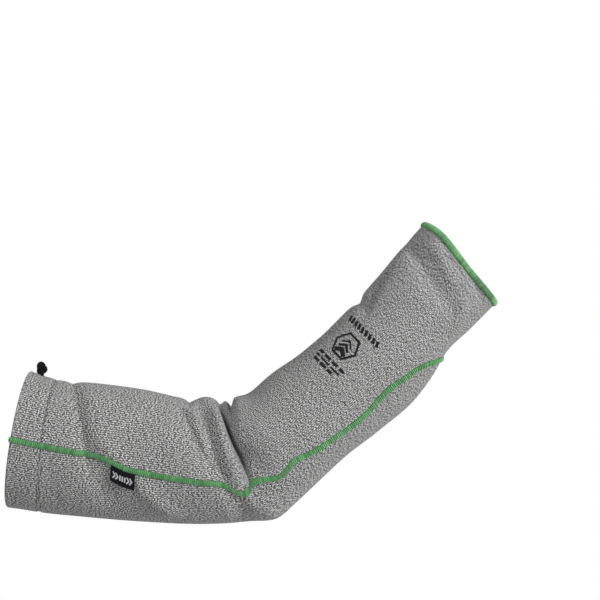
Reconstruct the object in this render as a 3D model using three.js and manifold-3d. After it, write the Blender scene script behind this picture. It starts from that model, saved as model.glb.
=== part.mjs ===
// Cut resistant sleeve: a knitted tube worn from the upper arm, over a bent elbow, to the wrist.
// Millimetres, +Z up. X runs from the upper arm opening towards the wrist, and -Y is the outer side,
// which carries the side label. The origin is the centre of the upper arm opening.
//
// A point of the cloth is named by its station and its angle. The station is 0 at the upper arm
// opening, 1 at the elbow and 2 at the wrist edge. The angle, in degrees, is 0 along the underside,
// 90 on the outer side, 180 on top and 270 on the inner side.

import * as THREE from 'three';
import { mergeVertices } from 'three/addons/utils/BufferGeometryUtils.js';
import Module from 'manifold-3d';

// The worn arm: lengths along the middle of the sleeve, its slope and its bend
const UPPER_ARM_LENGTH = 227;
const FOREARM_LENGTH = 270;
const UPPER_ARM_SLOPE = -5.6;
const ELBOW_BEND = 50;
// The share of each segment over which the middle line rounds the elbow
const ELBOW_ROUNDING = 0.25;

// Heights as worn and depths from the outer to the inner side
const HEM_HEIGHT = 131;
const ELBOW_HEIGHT = 117;
const WRIST_HEIGHT = 101.6;
const HEM_DEPTH = 96;
const ELBOW_DEPTH = 92;
const WRIST_DEPTH = 62;
// How far the wrist edge bows out on both sides, at which angle most, how widely, and from where
const WRIST_BOW = 4;
const WRIST_BOW_ANGLE = 128;
const WRIST_BOW_SPREAD = 34;
const WRIST_BOW_FROM = 1.8;

// Cloth, and the gap that neighbouring pieces keep
const WALL = 1.5;
const PIECE_GAP = 0.3;

// Folded hem at the upper arm, with the drawcord in it
const CASING_WIDTH = 28.5;
const CASING_STITCH_DEPTH = 0.7;
const CASING_STITCH_WIDTH = 2;
const DRAWCORD_DIAMETER = 2.4;
const CORD_SLIT_CENTRE = 11.5;
const CORD_SLIT_LENGTH = 9;
const CORD_SLIT_WIDTH = 3.8;
const CORD_SLIT_ANGLE = 183;
const KNOT_WIDTH = 10.4;
const KNOT_HEIGHT = 10.6;
const KNOT_FOOT_LIFT = 1.6;
const KNOT_FULLNESS = 1.4;

// Green seam between the panels
const SEAM_WIDTH = 6;
const SEAM_HEIGHT = 1.2;
const SEAM_CROWN_SHARE = 0.5;

// Green binding over the wrist edge
const BINDING_COVER = 4.2;
const BINDING_THICKNESS = 1;
const BINDING_INNER_GAP = 0.6;
// The share of its cover and thickness at which the binding's edge rounds off
const BINDING_EDGE_SHARE = 0.7;

// Woven side label, hanging from the seam
const LABEL_WIDTH = 23;
const LABEL_DROP = 15;
const LABEL_THICKNESS = 0.9;
const LABEL_FROM_HEM = 95;

// Spacing of the faces
const ROW_STEP = 14;
const ELBOW_ROW_STEP = 5.2;
const HALF_MAIN_COLUMNS = 11;
const HALF_GUSSET_COLUMNS = 3;
const SEAM_END_STEPS = 7;
const LABEL_STEPS = 4;
const CORD_SIDES = 6;
const KNOT_SIDES = 7;
const KNOT_TURN_SIDES = 5;

// Sections of the worn sleeve. turn is the share of the elbow's bend that the section leans by,
// over and under are its reach above and below the middle line, and depth is its reach to each
// side, as shares of half the height or depth there.
const SECTIONS = [
  { at: 0.0, turn: -0.07, over: 1.0, under: 1.0, depth: 1.0 },
  { at: 0.05, turn: -0.05, over: 0.965, under: 1.01, depth: 1.0 },
  { at: 0.12, turn: -0.03, over: 0.925, under: 1.035, depth: 1.0 },
  { at: 0.3, turn: 0.0, over: 0.945, under: 1.06, depth: 1.0 },
  { at: 0.5, turn: 0.0, over: 0.94, under: 1.075, depth: 1.0 },
  { at: 0.68, turn: 0.04, over: 0.885, under: 1.07, depth: 1.02 },
  { at: 0.84, turn: 0.2, over: 0.89, under: 1.06, depth: 1.03 },
  { at: 0.93, turn: 0.35, over: 0.83, under: 1.11, depth: 1.03 },
  { at: 1.0, turn: 0.5, over: 0.8, under: 1.185, depth: 1.02 },
  { at: 1.05, turn: 0.61, over: 0.815, under: 1.1, depth: 1.01 },
  { at: 1.1, turn: 0.72, over: 0.85, under: 1.03, depth: 1.0 },
  { at: 1.22, turn: 0.9, over: 0.895, under: 0.965, depth: 1.0 },
  { at: 1.38, turn: 1.0, over: 0.805, under: 1.07, depth: 1.0 },
  { at: 1.55, turn: 1.0, over: 0.79, under: 1.15, depth: 1.0 },
  { at: 1.66, turn: 1.0, over: 0.815, under: 1.08, depth: 1.0 },
  { at: 1.75, turn: 1.0, over: 0.86, under: 0.97, depth: 1.0 },
  { at: 1.87, turn: 0.98, over: 0.94, under: 0.99, depth: 1.0 },
  { at: 2.0, turn: 0.96, over: 1.0, under: 1.0, depth: 1.0 },
];

// Folds of the worn cloth, each a line from one station and angle to another. before and after are
// its half widths on its hem side and its wrist side, height is how far it stands out, or in when
// negative, and lean is how far it leans over towards the wrist, all as shares of the elbow's
// height. edge is 2 for a soft fold and nearer 1 for a sharp one.
const FOLDS = [
  { at: 0.2, angle: 180, to: 0.195, toAngle: 138, before: 0.034, after: 0.034, height: -0.013, edge: 2 },
  { at: 0.223, angle: 158, to: 0.32, toAngle: 92, before: 0.051, after: 0.085, height: -0.036, edge: 2 },
  { at: 0.18, angle: 158, to: 0.262, toAngle: 105, before: 0.043, after: 0.043, height: 0.014, edge: 2 },
  { at: 0.35, angle: 76, to: 0.415, toAngle: 50, before: 0.094, after: 0.094, height: -0.024, edge: 2 },
  { at: 0.42, angle: 92, to: 0.52, toAngle: 74, before: 0.051, after: 0.06, height: 0.008, edge: 2 },
  { at: 0.53, angle: 68, to: 0.68, toAngle: 36, before: 0.068, after: 0.068, height: 0.029, edge: 2 },
  { at: 0.66, angle: 155, to: 0.818, toAngle: 84, before: 0.06, after: 0.043, height: -0.032, edge: 1.5 },
  { at: 0.735, angle: 150, to: 0.828, toAngle: 94, before: 0.051, after: 0.043, height: 0.019, edge: 2 },
  { at: 0.7, angle: 180, to: 0.705, toAngle: 168, before: 0.034, after: 0.06, height: -0.032, edge: 1.5 },
  { at: 0.79, angle: 180, to: 0.79, toAngle: 172, before: 0.12, after: 0.12, height: 0.032, edge: 2 },
  { at: 0.765, angle: 165, to: 0.864, toAngle: 78, before: 0.051, after: 0.051, height: -0.051, edge: 1.4 },
  { at: 0.84, angle: 158, to: 0.908, toAngle: 74, before: 0.051, after: 0.051, height: 0.03, edge: 2 },
  {
    at: 0.857, angle: 178, to: 0.937, toAngle: 76, before: 0.022, after: 0.103, height: -0.077, edge: 1.25,
    lean: 0.03,
  },
  { at: 0.925, angle: 180, to: 0.93, toAngle: 150, before: 0.026, after: 0.06, height: -0.027, edge: 1.5 },
  { at: 0.955, angle: 96, to: 1.01, toAngle: 74, before: 0.077, after: 0.103, height: -0.034, edge: 2 },
  { at: 0.946, angle: 57, to: 0.985, toAngle: 28, before: 0.06, after: 0.068, height: 0.029, edge: 2 },
  { at: 0.905, angle: 56, to: 0.905, toAngle: 16, before: 0.068, after: 0.051, height: -0.022, edge: 2 },
  { at: 1.475, angle: 168, to: 1.54, toAngle: 164, before: 0.068, after: 0.068, height: -0.034, edge: 2 },
  { at: 1.65, angle: 180, to: 1.66, toAngle: 150, before: 0.051, after: 0.051, height: -0.034, edge: 1.7 },
  { at: 1.66, angle: 128, to: 1.82, toAngle: 160, before: 0.077, after: 0.043, height: -0.043, edge: 1.4 },
  { at: 1.945, angle: 150, to: 1.885, toAngle: 68, before: 0.068, after: 0.068, height: -0.028, edge: 2 },
  { at: 1.92, angle: 64, to: 1.82, toAngle: 34, before: 0.051, after: 0.051, height: 0.021, edge: 2 },
  { at: 1.99, angle: 76, to: 1.955, toAngle: 42, before: 0.06, after: 0.06, height: -0.018, edge: 2 },
];
// An end of a fold this near the top or the underside runs on over it
const OPEN_END_ANGLE = 12;
// A fold fades over this share of its length at each end, and over this many of its widths besides
const FOLD_END_SHARE = 0.25;
const FOLD_END_WIDTHS = 1;
// A leaning fold leans over this many of its widths before it
const LEAN_WIDTHS = 2.2;
// The inner side creases less than the outer side, from this angle past the top or underside
const INNER_SIDE_SHARE = 0.6;
const INNER_SIDE_BLEND = 40;

// The seam's angle along the outer side. The inner side mirrors it.
const SEAM = [
  { at: 0.0, angle: 93.5 },
  { at: 0.2, angle: 89.3 },
  { at: 0.39, angle: 85 },
  { at: 0.48, angle: 79.3 },
  { at: 0.54, angle: 77.3 },
  { at: 0.76, angle: 72.6 },
  { at: 0.842, angle: 70 },
  { at: 0.874, angle: 66.6 },
  { at: 0.902, angle: 60.3 },
  { at: 0.924, angle: 58 },
  { at: 0.966, angle: 65.5 },
  { at: 1.0, angle: 66 },
  { at: 1.056, angle: 60.7 },
  { at: 1.116, angle: 64.3 },
  { at: 1.214, angle: 56.6 },
  { at: 1.372, angle: 51 },
  { at: 1.524, angle: 54.5 },
  { at: 1.6, angle: 48.5 },
];
// Station where the seam starts to round the gusset's end, station of that end, and its fullness
const SEAM_TURNS_AT = 1.6;
const GUSSET_ENDS_AT = 1.735;
const SEAM_PASSED_AT = 1.77;
const SEAM_END_POWER = 1.6;

// Rows of faces slant along the elbow's creases between these stations, and lie closer to each other
const ROW_SLANT = 0.09;
const SLANT = { from: 0.62, full: 0.84, until: 0.98, end: 1.2 };
const CLOSE_ROWS_END = 1.1;
// Rounds in which a slanted row finds the seam
const SEAM_ROUNDS = 6;

const rad = THREE.MathUtils.degToRad;
const deg = THREE.MathUtils.radToDeg;
const smoothstep = THREE.MathUtils.smoothstep;
const lerp = THREE.MathUtils.lerp;

// A smooth curve through one column of a table whose rows are in order of at.
function along(table, column, at) {
  let i = 0;
  while (i < table.length - 2 && at > table[i + 1].at) i += 1;
  const slope = (k) => (table[k + 1][column] - table[k][column]) / (table[k + 1].at - table[k].at);
  const tangent = (k) => {
    if (k === 0) return slope(0);
    if (k === table.length - 1) return slope(k - 1);
    const before = table[k].at - table[k - 1].at;
    const after = table[k + 1].at - table[k].at;
    return (slope(k - 1) * after + slope(k) * before) / (before + after);
  };
  const span = table[i + 1].at - table[i].at;
  const t = (at - table[i].at) / span;
  const t2 = t * t;
  const t3 = t2 * t;
  return (2 * t3 - 3 * t2 + 1) * table[i][column] + (t3 - 2 * t2 + t) * span * tangent(i)
    + (3 * t2 - 2 * t3) * table[i + 1][column] + (t3 - t2) * span * tangent(i + 1);
}

// Distance along the middle line, and back.
function lengthAt(at) {
  return at < 1 ? at * UPPER_ARM_LENGTH : UPPER_ARM_LENGTH + (at - 1) * FOREARM_LENGTH;
}
function stationAt(length) {
  if (length < UPPER_ARM_LENGTH) return length / UPPER_ARM_LENGTH;
  return 1 + (length - UPPER_ARM_LENGTH) / FOREARM_LENGTH;
}

// The middle line in the plane of the arm: two straight segments with a rounded elbow.
function middle(at) {
  const upper = rad(UPPER_ARM_SLOPE);
  const fore = rad(UPPER_ARM_SLOPE + ELBOW_BEND);
  const elbow = new THREE.Vector2(Math.cos(upper), Math.sin(upper)).multiplyScalar(UPPER_ARM_LENGTH);
  const straight = (s) => (s <= 1
    ? elbow.clone().multiplyScalar(s)
    : new THREE.Vector2(Math.cos(fore), Math.sin(fore)).multiplyScalar(FOREARM_LENGTH * (s - 1)).add(elbow));
  if (Math.abs(at - 1) >= ELBOW_ROUNDING) return straight(at);
  const ends = [straight(1 - ELBOW_ROUNDING), straight(1 + ELBOW_ROUNDING)];
  const curve = new THREE.QuadraticBezierCurve(ends[0], elbow, ends[1]);
  return curve.getPoint((at - 1 + ELBOW_ROUNDING) / (2 * ELBOW_ROUNDING));
}

// A size that is named at the hem, the elbow and the wrist, between them.
function between(at, hem, elbow, wrist) {
  return at < 1 ? lerp(hem, elbow, at) : lerp(elbow, wrist, at - 1);
}

// Half reaches of a section: above, below and to each side of the middle line.
function reaches(at) {
  const half = between(at, HEM_HEIGHT, ELBOW_HEIGHT, WRIST_HEIGHT) / 2;
  return {
    over: half * along(SECTIONS, 'over', at),
    under: half * along(SECTIONS, 'under', at),
    side: (between(at, HEM_DEPTH, ELBOW_DEPTH, WRIST_DEPTH) / 2) * along(SECTIONS, 'depth', at),
  };
}

// Angle that covers a width of cloth at a station and angle.
function angleOf(width, at, angle) {
  const { over, under, side } = reaches(at);
  const height = Math.cos(rad(angle)) > 0 ? under : over;
  return deg(width / Math.hypot(height * Math.sin(rad(angle)), side * Math.cos(rad(angle))));
}

// What the folds do at a point: how far it moves out, and how far along the arm.
function folding(at, angle) {
  const radius = (ELBOW_HEIGHT + ELBOW_DEPTH) / 4;
  const turned = Math.min(angle, 360 - angle);
  const here = new THREE.Vector2(lengthAt(at), rad(turned) * radius);
  let out = 0;
  let push = 0;
  for (const fold of FOLDS) {
    const ends = [
      { at: fold.at, angle: fold.angle },
      { at: fold.to, angle: fold.toAngle },
    ].sort((one, other) => other.angle - one.angle);
    const [start, end] = ends.map((e) => new THREE.Vector2(lengthAt(e.at), rad(e.angle) * radius));
    const line = end.clone().sub(start);
    const length = line.length();
    line.normalize();
    const from = here.clone().sub(start);
    const run = from.dot(line);
    const across = from.cross(line);
    const width = (across > 0 ? fold.before : fold.after) * ELBOW_HEIGHT;
    const open = (e) => e.angle > 180 - OPEN_END_ANGLE || e.angle < OPEN_END_ANGLE;
    const starts = open(ends[0]) ? 0 : FOLD_END_SHARE * length;
    const stops = open(ends[1]) ? length : (1 - FOLD_END_SHARE) * length;
    const past = Math.max(0, starts - run, run - stops);
    const widest = Math.max(fold.before, fold.after) * ELBOW_HEIGHT;
    const slow = Math.SQRT1_2 * (FOLD_END_SHARE * length) + FOLD_END_WIDTHS * widest;
    const fade = Math.exp(-((past / slow) ** 2));
    out += fold.height * ELBOW_HEIGHT * Math.exp(-((Math.abs(across) / width) ** fold.edge)) * fade;
    if (fold.lean) {
      const lip = fold.before * ELBOW_HEIGHT;
      push += fold.lean * ELBOW_HEIGHT * Math.exp(-(((across - lip) / (LEAN_WIDTHS * lip)) ** 2)) * fade;
    }
  }
  const inner = smoothstep(angle, 180, 180 + INNER_SIDE_BLEND) * smoothstep(360 - angle, 0, INNER_SIDE_BLEND);
  const share = 1 - (1 - INNER_SIDE_SHARE) * inner;
  const stitch = (lengthAt(at) - CASING_WIDTH) / CASING_STITCH_WIDTH;
  return { out: out * share - CASING_STITCH_DEPTH * Math.exp(-stitch * stitch), push: push * share };
}

// The wrist edge bows out along the arm, most on the upper half of both sides.
function wristBow(at, angle) {
  const turned = Math.min(angle, 360 - angle);
  const near = Math.exp(-(((turned - WRIST_BOW_ANGLE) / WRIST_BOW_SPREAD) ** 2));
  return WRIST_BOW * smoothstep(at, WRIST_BOW_FROM, 2) * near;
}

// A point of the cloth, raised above its outer face by lift, or sunk into it when negative.
function cloth(at, angle, lift = 0) {
  const wrapped = THREE.MathUtils.euclideanModulo(angle, 360);
  const lean = rad(UPPER_ARM_SLOPE + ELBOW_BEND * along(SECTIONS, 'turn', at));
  const { over, under, side } = reaches(at);
  const cos = Math.cos(rad(wrapped));
  const sin = Math.sin(rad(wrapped));
  const height = cos > 0 ? under : over;
  const outward = new THREE.Vector2(-cos * side, -sin * height).normalize();
  const fold = folding(at, wrapped);
  const up = -cos * height + outward.x * (fold.out + lift);
  const across = -sin * side + outward.y * (fold.out + lift);
  const forward = fold.push + wristBow(at, wrapped);
  const centre = middle(at);
  return new THREE.Vector3(
    centre.x - Math.sin(lean) * up + Math.cos(lean) * forward,
    across,
    centre.y + Math.cos(lean) * up + Math.sin(lean) * forward,
  );
}

// The station of a row of faces at an angle: near the elbow rows slant along the creases.
function slanted(row, angle) {
  const turned = Math.min(angle, 360 - angle);
  const near = smoothstep(row, SLANT.from, SLANT.full) * (1 - smoothstep(row, SLANT.until, SLANT.end));
  return row + ROW_SLANT * near * (1 - turned / 180);
}

// The seam's angle on a row of faces, moved towards the top by offset.
function seamAngle(row, offset) {
  let angle = along(SEAM, 'angle', Math.min(row, SEAM_TURNS_AT));
  for (let i = 0; i < SEAM_ROUNDS; i += 1) {
    angle = along(SEAM, 'angle', Math.min(slanted(row, angle), SEAM_TURNS_AT));
  }
  const moved = angle + angleOf(offset, row, angle);
  if (row <= SEAM_TURNS_AT) return moved;
  const past = (row - SEAM_TURNS_AT) / (GUSSET_ENDS_AT - SEAM_TURNS_AT + offset / FOREARM_LENGTH);
  return moved * Math.sqrt(Math.max(0, 1 - past ** SEAM_END_POWER));
}

// Rows from one station to another, evenly spaced, without the first.
function spread(from, to, step) {
  const [start, end] = [lengthAt(from), lengthAt(to)];
  const count = Math.max(1, Math.round((end - start) / step));
  return Array.from({ length: count }, (_, i) => stationAt(lerp(start, end, (i + 1) / count)));
}

// Rows along the straight run of the seam, from the hem edge to where the seam turns.
const slitStart = CORD_SLIT_CENTRE - CORD_SLIT_LENGTH / 2;
const slitEnd = CORD_SLIT_CENTRE + CORD_SLIT_LENGTH / 2;
const hemRows = [
  0, slitStart, slitEnd, CASING_WIDTH - CASING_STITCH_WIDTH, CASING_WIDTH, CASING_WIDTH + CASING_STITCH_WIDTH,
].map(stationAt);
const sideRows = [
  ...hemRows,
  ...spread(hemRows.at(-1), SLANT.from, ROW_STEP),
  ...spread(SLANT.from, CLOSE_ROWS_END, ELBOW_ROW_STEP),
  ...spread(CLOSE_ROWS_END, SEAM_TURNS_AT, ROW_STEP),
];

// Steps of the seam's rounded end, from the straight run to the underside.
const endSteps = Array.from({ length: SEAM_END_STEPS }, (_, i) => {
  const turn = (Math.PI / 2) * ((i + 1) / SEAM_END_STEPS);
  return { run: Math.sin(turn) ** (2 / SEAM_END_POWER), open: Math.cos(turn) };
});
function endRows(offset) {
  const reach = GUSSET_ENDS_AT - SEAM_TURNS_AT + offset / FOREARM_LENGTH;
  return endSteps.map((step) => SEAM_TURNS_AT + reach * step.run);
}

// Angles of a row of the main panel, from the seam over the top to the seam.
function mainAngles(row, edge) {
  const start = edge + angleOf(SEAM_WIDTH / 2, row, edge);
  const slit = angleOf(CORD_SLIT_WIDTH / 2, row, 180);
  const front = Array.from({ length: HALF_MAIN_COLUMNS }, (_, i) => lerp(start, 180, i / HALF_MAIN_COLUMNS));
  const back = [edge, ...front].map((angle) => 360 - angle).reverse();
  return [edge, ...front, CORD_SLIT_ANGLE - slit, CORD_SLIT_ANGLE + slit, ...back];
}

// Angles of a row of the gusset, from one seam under the arm to the other.
function gussetAngles(row, edge) {
  const start = Math.max(0, edge - angleOf(SEAM_WIDTH / 2, row, edge));
  const columns = Array.from({ length: HALF_GUSSET_COLUMNS }, (_, i) => (
    lerp(start, 0, i / HALF_GUSSET_COLUMNS)
  ));
  const front = [edge, ...columns];
  return [...front.map((angle) => -angle), 0, ...front.reverse()];
}

// One closed wall over a grid of stations and angles. outer and inner give the lift of its faces,
// and skip says which cells of the grid stay open.
function sheet(grid, outer, inner, skip = () => false) {
  const index = new Map();
  const spots = [];
  const spot = ({ at, angle }) => {
    const wrapped = THREE.MathUtils.euclideanModulo(Math.round(angle * 1e5) / 1e5, 360);
    const key = `${at.toFixed(7)} ${wrapped.toFixed(5)}`;
    if (!index.has(key)) {
      index.set(key, spots.length);
      spots.push({ at, angle: wrapped });
    }
    return index.get(key);
  };
  const faces = [];
  const face = (a, b, c) => {
    if (a !== b && b !== c && a !== c) faces.push([a, b, c]);
  };
  for (let r = 0; r < grid.length - 1; r += 1) {
    for (let c = 0; c < grid[r].length - 1; c += 1) {
      if (skip(r, c)) continue;
      const [a, b, d, e] = [grid[r][c], grid[r][c + 1], grid[r + 1][c], grid[r + 1][c + 1]].map(spot);
      face(a, d, e);
      face(a, e, b);
    }
  }
  const edges = new Set(faces.flatMap(([a, b, c]) => [`${a} ${b}`, `${b} ${c}`, `${c} ${a}`]));
  const pairs = [...edges].map((edge) => edge.split(' ').map(Number));
  const walls = pairs.filter(([a, b]) => !edges.has(`${b} ${a}`));
  const under = spots.length;
  const triangles = [
    ...faces,
    ...faces.map(([a, b, c]) => [a + under, c + under, b + under]),
    ...walls.flatMap(([a, b]) => [[b, a, a + under], [b, a + under, b + under]]),
  ];
  const points = [
    ...spots.map(({ at, angle }) => cloth(at, angle, outer(at, angle))),
    ...spots.map(({ at, angle }) => cloth(at, angle, inner(at, angle))),
  ];
  return solid(points, triangles);
}

// One closed solid through rings of points, joined end to end when it is a loop.
function loft(rings, loop) {
  const count = rings[0].length;
  const triangles = [];
  for (let r = 0; r < (loop ? rings.length : rings.length - 1); r += 1) {
    const next = ((r + 1) % rings.length) * count;
    for (let i = 0; i < count; i += 1) {
      const j = (i + 1) % count;
      triangles.push([r * count + i, next + i, next + j], [r * count + i, next + j, r * count + j]);
    }
  }
  if (!loop) {
    const last = (rings.length - 1) * count;
    for (let i = 1; i < count - 1; i += 1) {
      triangles.push([0, i, i + 1], [last, last + i + 1, last + i]);
    }
  }
  return solid(rings.flat(), triangles);
}

// A geometry of points and triangles.
function solid(points, triangles) {
  const geometry = new THREE.BufferGeometry();
  geometry.setAttribute('position', new THREE.Float32BufferAttribute(points.flatMap((p) => p.toArray()), 3));
  geometry.setIndex(triangles.flat());
  return geometry;
}

// The main panel goes over the arm, and past the gusset's end all the way round it.
function mainPanel() {
  const offset = PIECE_GAP / 2;
  const ends = endRows(offset);
  const rows = [
    ...sideRows,
    ...ends,
    ...spread(ends.at(-1), SEAM_PASSED_AT, ELBOW_ROW_STEP),
    ...spread(SEAM_PASSED_AT, 2 - BINDING_COVER / FOREARM_LENGTH, ROW_STEP),
    2,
  ];
  const grid = rows.map((row) => {
    const edge = row < ends.at(-1) ? seamAngle(row, offset) : 0;
    return mainAngles(row, edge).map((angle) => ({ at: slanted(row, angle), angle }));
  });
  const slitColumn = HALF_MAIN_COLUMNS + 1;
  return sheet(grid, () => 0, () => -WALL, (r, c) => r === 1 && c === slitColumn);
}

// The elbow gusset lies under the arm, from the hem to its rounded end on the forearm.
function elbowGusset() {
  const offset = -PIECE_GAP / 2;
  const ends = endRows(offset);
  const grid = [...sideRows, ...ends].map((row) => {
    const edge = row < ends.at(-1) ? seamAngle(row, offset) : 0;
    return gussetAngles(row, edge).map((angle) => ({ at: slanted(row, Math.abs(angle)), angle }));
  });
  return sheet(grid, () => 0, () => -WALL);
}

// The folded-in layer of the hem, which makes the drawcord's tunnel.
const tunnelHalf = CORD_SLIT_LENGTH / 2 + PIECE_GAP;
const tunnelSlope = DRAWCORD_DIAMETER;
function casingDepth(at) {
  const away = Math.abs(lengthAt(at) - CORD_SLIT_CENTRE);
  const inTunnel = 1 - THREE.MathUtils.clamp((away - tunnelHalf) / tunnelSlope, 0, 1);
  return WALL + PIECE_GAP + inTunnel * (DRAWCORD_DIAMETER + 2 * PIECE_GAP);
}
function hemCasing() {
  const rows = [
    0, CORD_SLIT_CENTRE - tunnelHalf - tunnelSlope, CORD_SLIT_CENTRE - tunnelHalf,
    CORD_SLIT_CENTRE + tunnelHalf, CORD_SLIT_CENTRE + tunnelHalf + tunnelSlope,
    CASING_WIDTH - CASING_STITCH_WIDTH,
  ].map(stationAt);
  const grid = rows.map((row) => {
    const edge = seamAngle(row, 0);
    const angles = [...gussetAngles(row, edge), ...mainAngles(row, edge).slice(1)];
    return angles.map((angle) => ({ at: row, angle }));
  });
  return sheet(grid, (at) => -casingDepth(at), (at) => -casingDepth(at) - WALL);
}

// The green seam covers the gap between the panels, up one side and down the other.
function gussetSeam() {
  const half = SEAM_WIDTH / 2;
  const section = [
    { side: 1, lift: 0 },
    { side: 0, lift: 0 },
    { side: -1, lift: 0 },
    { side: -SEAM_CROWN_SHARE, lift: SEAM_HEIGHT },
    { side: SEAM_CROWN_SHARE, lift: SEAM_HEIGHT },
  ];
  const ring = (spot) => section.map(({ side, lift }) => {
    const { at, angle } = spot(side * half);
    return cloth(at, angle, PIECE_GAP + lift);
  });
  const straight = (hand) => (row) => ring((offset) => {
    const angle = seamAngle(row, 0) + angleOf(offset, row, seamAngle(row, 0));
    return { at: slanted(row, angle), angle: hand * angle };
  });
  const turned = seamAngle(SEAM_TURNS_AT, 0);
  const rounded = (hand) => (step) => ring((offset) => ({
    at: SEAM_TURNS_AT + (GUSSET_ENDS_AT - SEAM_TURNS_AT + offset / FOREARM_LENGTH) * step.run,
    angle: hand * step.open * (turned + angleOf(offset, SEAM_TURNS_AT, turned)),
  }));
  return loft([
    ...sideRows.map(straight(1)),
    ...endSteps.map(rounded(1)),
    ...endSteps.slice(0, -1).reverse().map(rounded(-1)),
    ...[...sideRows].reverse().map(straight(-1)),
  ], false);
}

// The green binding folds over the wrist edge.
function wristBinding() {
  const cover = PIECE_GAP + BINDING_THICKNESS;
  const inside = -WALL - BINDING_INNER_GAP;
  const section = [
    { run: PIECE_GAP, lift: PIECE_GAP },
    { run: PIECE_GAP, lift: inside },
    { run: -BINDING_COVER, lift: inside },
    { run: -BINDING_COVER, lift: inside - BINDING_EDGE_SHARE * BINDING_THICKNESS },
    { run: -BINDING_EDGE_SHARE * BINDING_COVER, lift: inside - BINDING_THICKNESS },
    { run: 0, lift: inside - BINDING_THICKNESS },
    { run: cover, lift: -WALL / 2 },
    { run: 0, lift: cover },
    { run: -BINDING_EDGE_SHARE * BINDING_COVER, lift: cover },
    { run: -BINDING_COVER, lift: PIECE_GAP + BINDING_EDGE_SHARE * BINDING_THICKNESS },
    { run: -BINDING_COVER, lift: PIECE_GAP },
  ];
  const angles = mainAngles(2, 0).slice(1);
  const rings = angles.map((angle) => (
    section.map(({ run, lift }) => cloth(2 + run / FOREARM_LENGTH, angle, lift))
  ));
  return loft(rings, true);
}

// The side label hangs from the seam's lower edge and lies on the gusset.
function sideLabel() {
  const [start, end] = [LABEL_FROM_HEM, LABEL_FROM_HEM + LABEL_WIDTH].map(stationAt);
  const grid = [start, ...spread(start, end, LABEL_WIDTH / LABEL_STEPS)].map((row) => {
    const top = seamAngle(row, -SEAM_WIDTH / 2 - PIECE_GAP);
    const drop = angleOf(LABEL_DROP, row, top);
    return Array.from({ length: LABEL_STEPS + 1 }, (_, i) => (
      { at: row, angle: top - drop * (1 - i / LABEL_STEPS) }
    ));
  });
  const lift = 2 * PIECE_GAP;
  return sheet(grid, () => lift + LABEL_THICKNESS, () => lift);
}

// The drawcord runs round the hem in its tunnel. Both its ends leave through the slit, into a knot.
async function drawcord() {
  const wasm = await Module();
  wasm.setup();
  const body = (geometry) => {
    geometry.deleteAttribute('normal');
    geometry.deleteAttribute('uv');
    const merged = mergeVertices(geometry);
    return new wasm.Manifold(new wasm.Mesh({
      numProp: 3,
      vertProperties: new Float32Array(merged.attributes.position.array),
      triVerts: new Uint32Array(merged.index.array),
    }));
  };
  const radius = DRAWCORD_DIAMETER / 2;
  const centreAt = stationAt(CORD_SLIT_CENTRE);
  const depth = WALL + 2 * PIECE_GAP + radius;
  const edge = seamAngle(centreAt, 0);
  const angles = [...gussetAngles(centreAt, edge).slice(1), ...mainAngles(centreAt, edge).slice(1)];
  const sides = Array.from({ length: CORD_SIDES }, (_, i) => (i / CORD_SIDES) * 2 * Math.PI);
  const loop = loft(angles.map((angle) => sides.map((turn) => (
    cloth(stationAt(CORD_SLIT_CENTRE + radius * Math.cos(turn)), angle, radius * Math.sin(turn) - depth)
  ))), true);

  const spot = (run, lift) => cloth(stationAt(CORD_SLIT_CENTRE + run), CORD_SLIT_ANGLE, lift);
  const up = new THREE.Vector3(0, 1, 0);
  const strand = (from, to) => {
    const line = to.clone().sub(from);
    const capsule = new THREE.CapsuleGeometry(radius, line.length(), 2, KNOT_SIDES);
    capsule.applyQuaternion(new THREE.Quaternion().setFromUnitVectors(up, line.clone().normalize()));
    return capsule.translate(...from.clone().lerp(to, 0.5).toArray());
  };
  const spanHalf = CORD_SLIT_LENGTH / 2 - radius - PIECE_GAP;
  const strands = [-1, 1].map((side) => strand(spot(0, -depth), spot(side * spanHalf, KNOT_FOOT_LIFT)));

  // Two wound turns of cord, crossing each other, round a full middle
  const turnRadius = radius * KNOT_FULLNESS;
  const ringRadius = KNOT_WIDTH / 2 - turnRadius;
  const knotCentre = spot(0, KNOT_FOOT_LIFT + KNOT_HEIGHT / 2);
  const turns = [
    { tilt: 0.5, lean: 0.3, size: 1 },
    { tilt: -0.6, lean: 1.2, size: 0.9 },
  ].map(({ tilt, lean, size }) => {
    const turn = new THREE.TorusGeometry(ringRadius * size, turnRadius, KNOT_TURN_SIDES, KNOT_SIDES);
    turn.rotateX(Math.PI / 2 + tilt).rotateY(lean);
    return turn.translate(...knotCentre.toArray());
  });
  const core = new THREE.SphereGeometry(KNOT_WIDTH / 3, KNOT_SIDES, KNOT_TURN_SIDES);
  core.scale(1, 1, KNOT_HEIGHT / KNOT_WIDTH).translate(...knotCentre.toArray());
  const legs = [-1, 1].map((side) => (
    strand(spot(side * spanHalf, KNOT_FOOT_LIFT), spot(side, KNOT_HEIGHT / 2))
  ));
  const fused = [loop, ...strands, ...legs, ...turns, core].map(body).reduce((sum, next) => sum.add(next));
  const mesh = fused.getMesh();
  const geometry = new THREE.BufferGeometry();
  geometry.setAttribute('position', new THREE.Float32BufferAttribute(mesh.vertProperties, 3));
  geometry.setIndex([...mesh.triVerts]);
  return geometry;
}

const knit = new THREE.MeshStandardMaterial({ color: 0x918f8a, roughness: 0.95, metalness: 0 });
const gussetKnit = new THREE.MeshStandardMaterial({ color: 0x84827d, roughness: 0.95, metalness: 0 });
const greenThread = new THREE.MeshStandardMaterial({ color: 0x4fa862, roughness: 0.7, metalness: 0 });
const blackWeave = new THREE.MeshStandardMaterial({ color: 0x17181a, roughness: 0.6, metalness: 0 });

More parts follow.
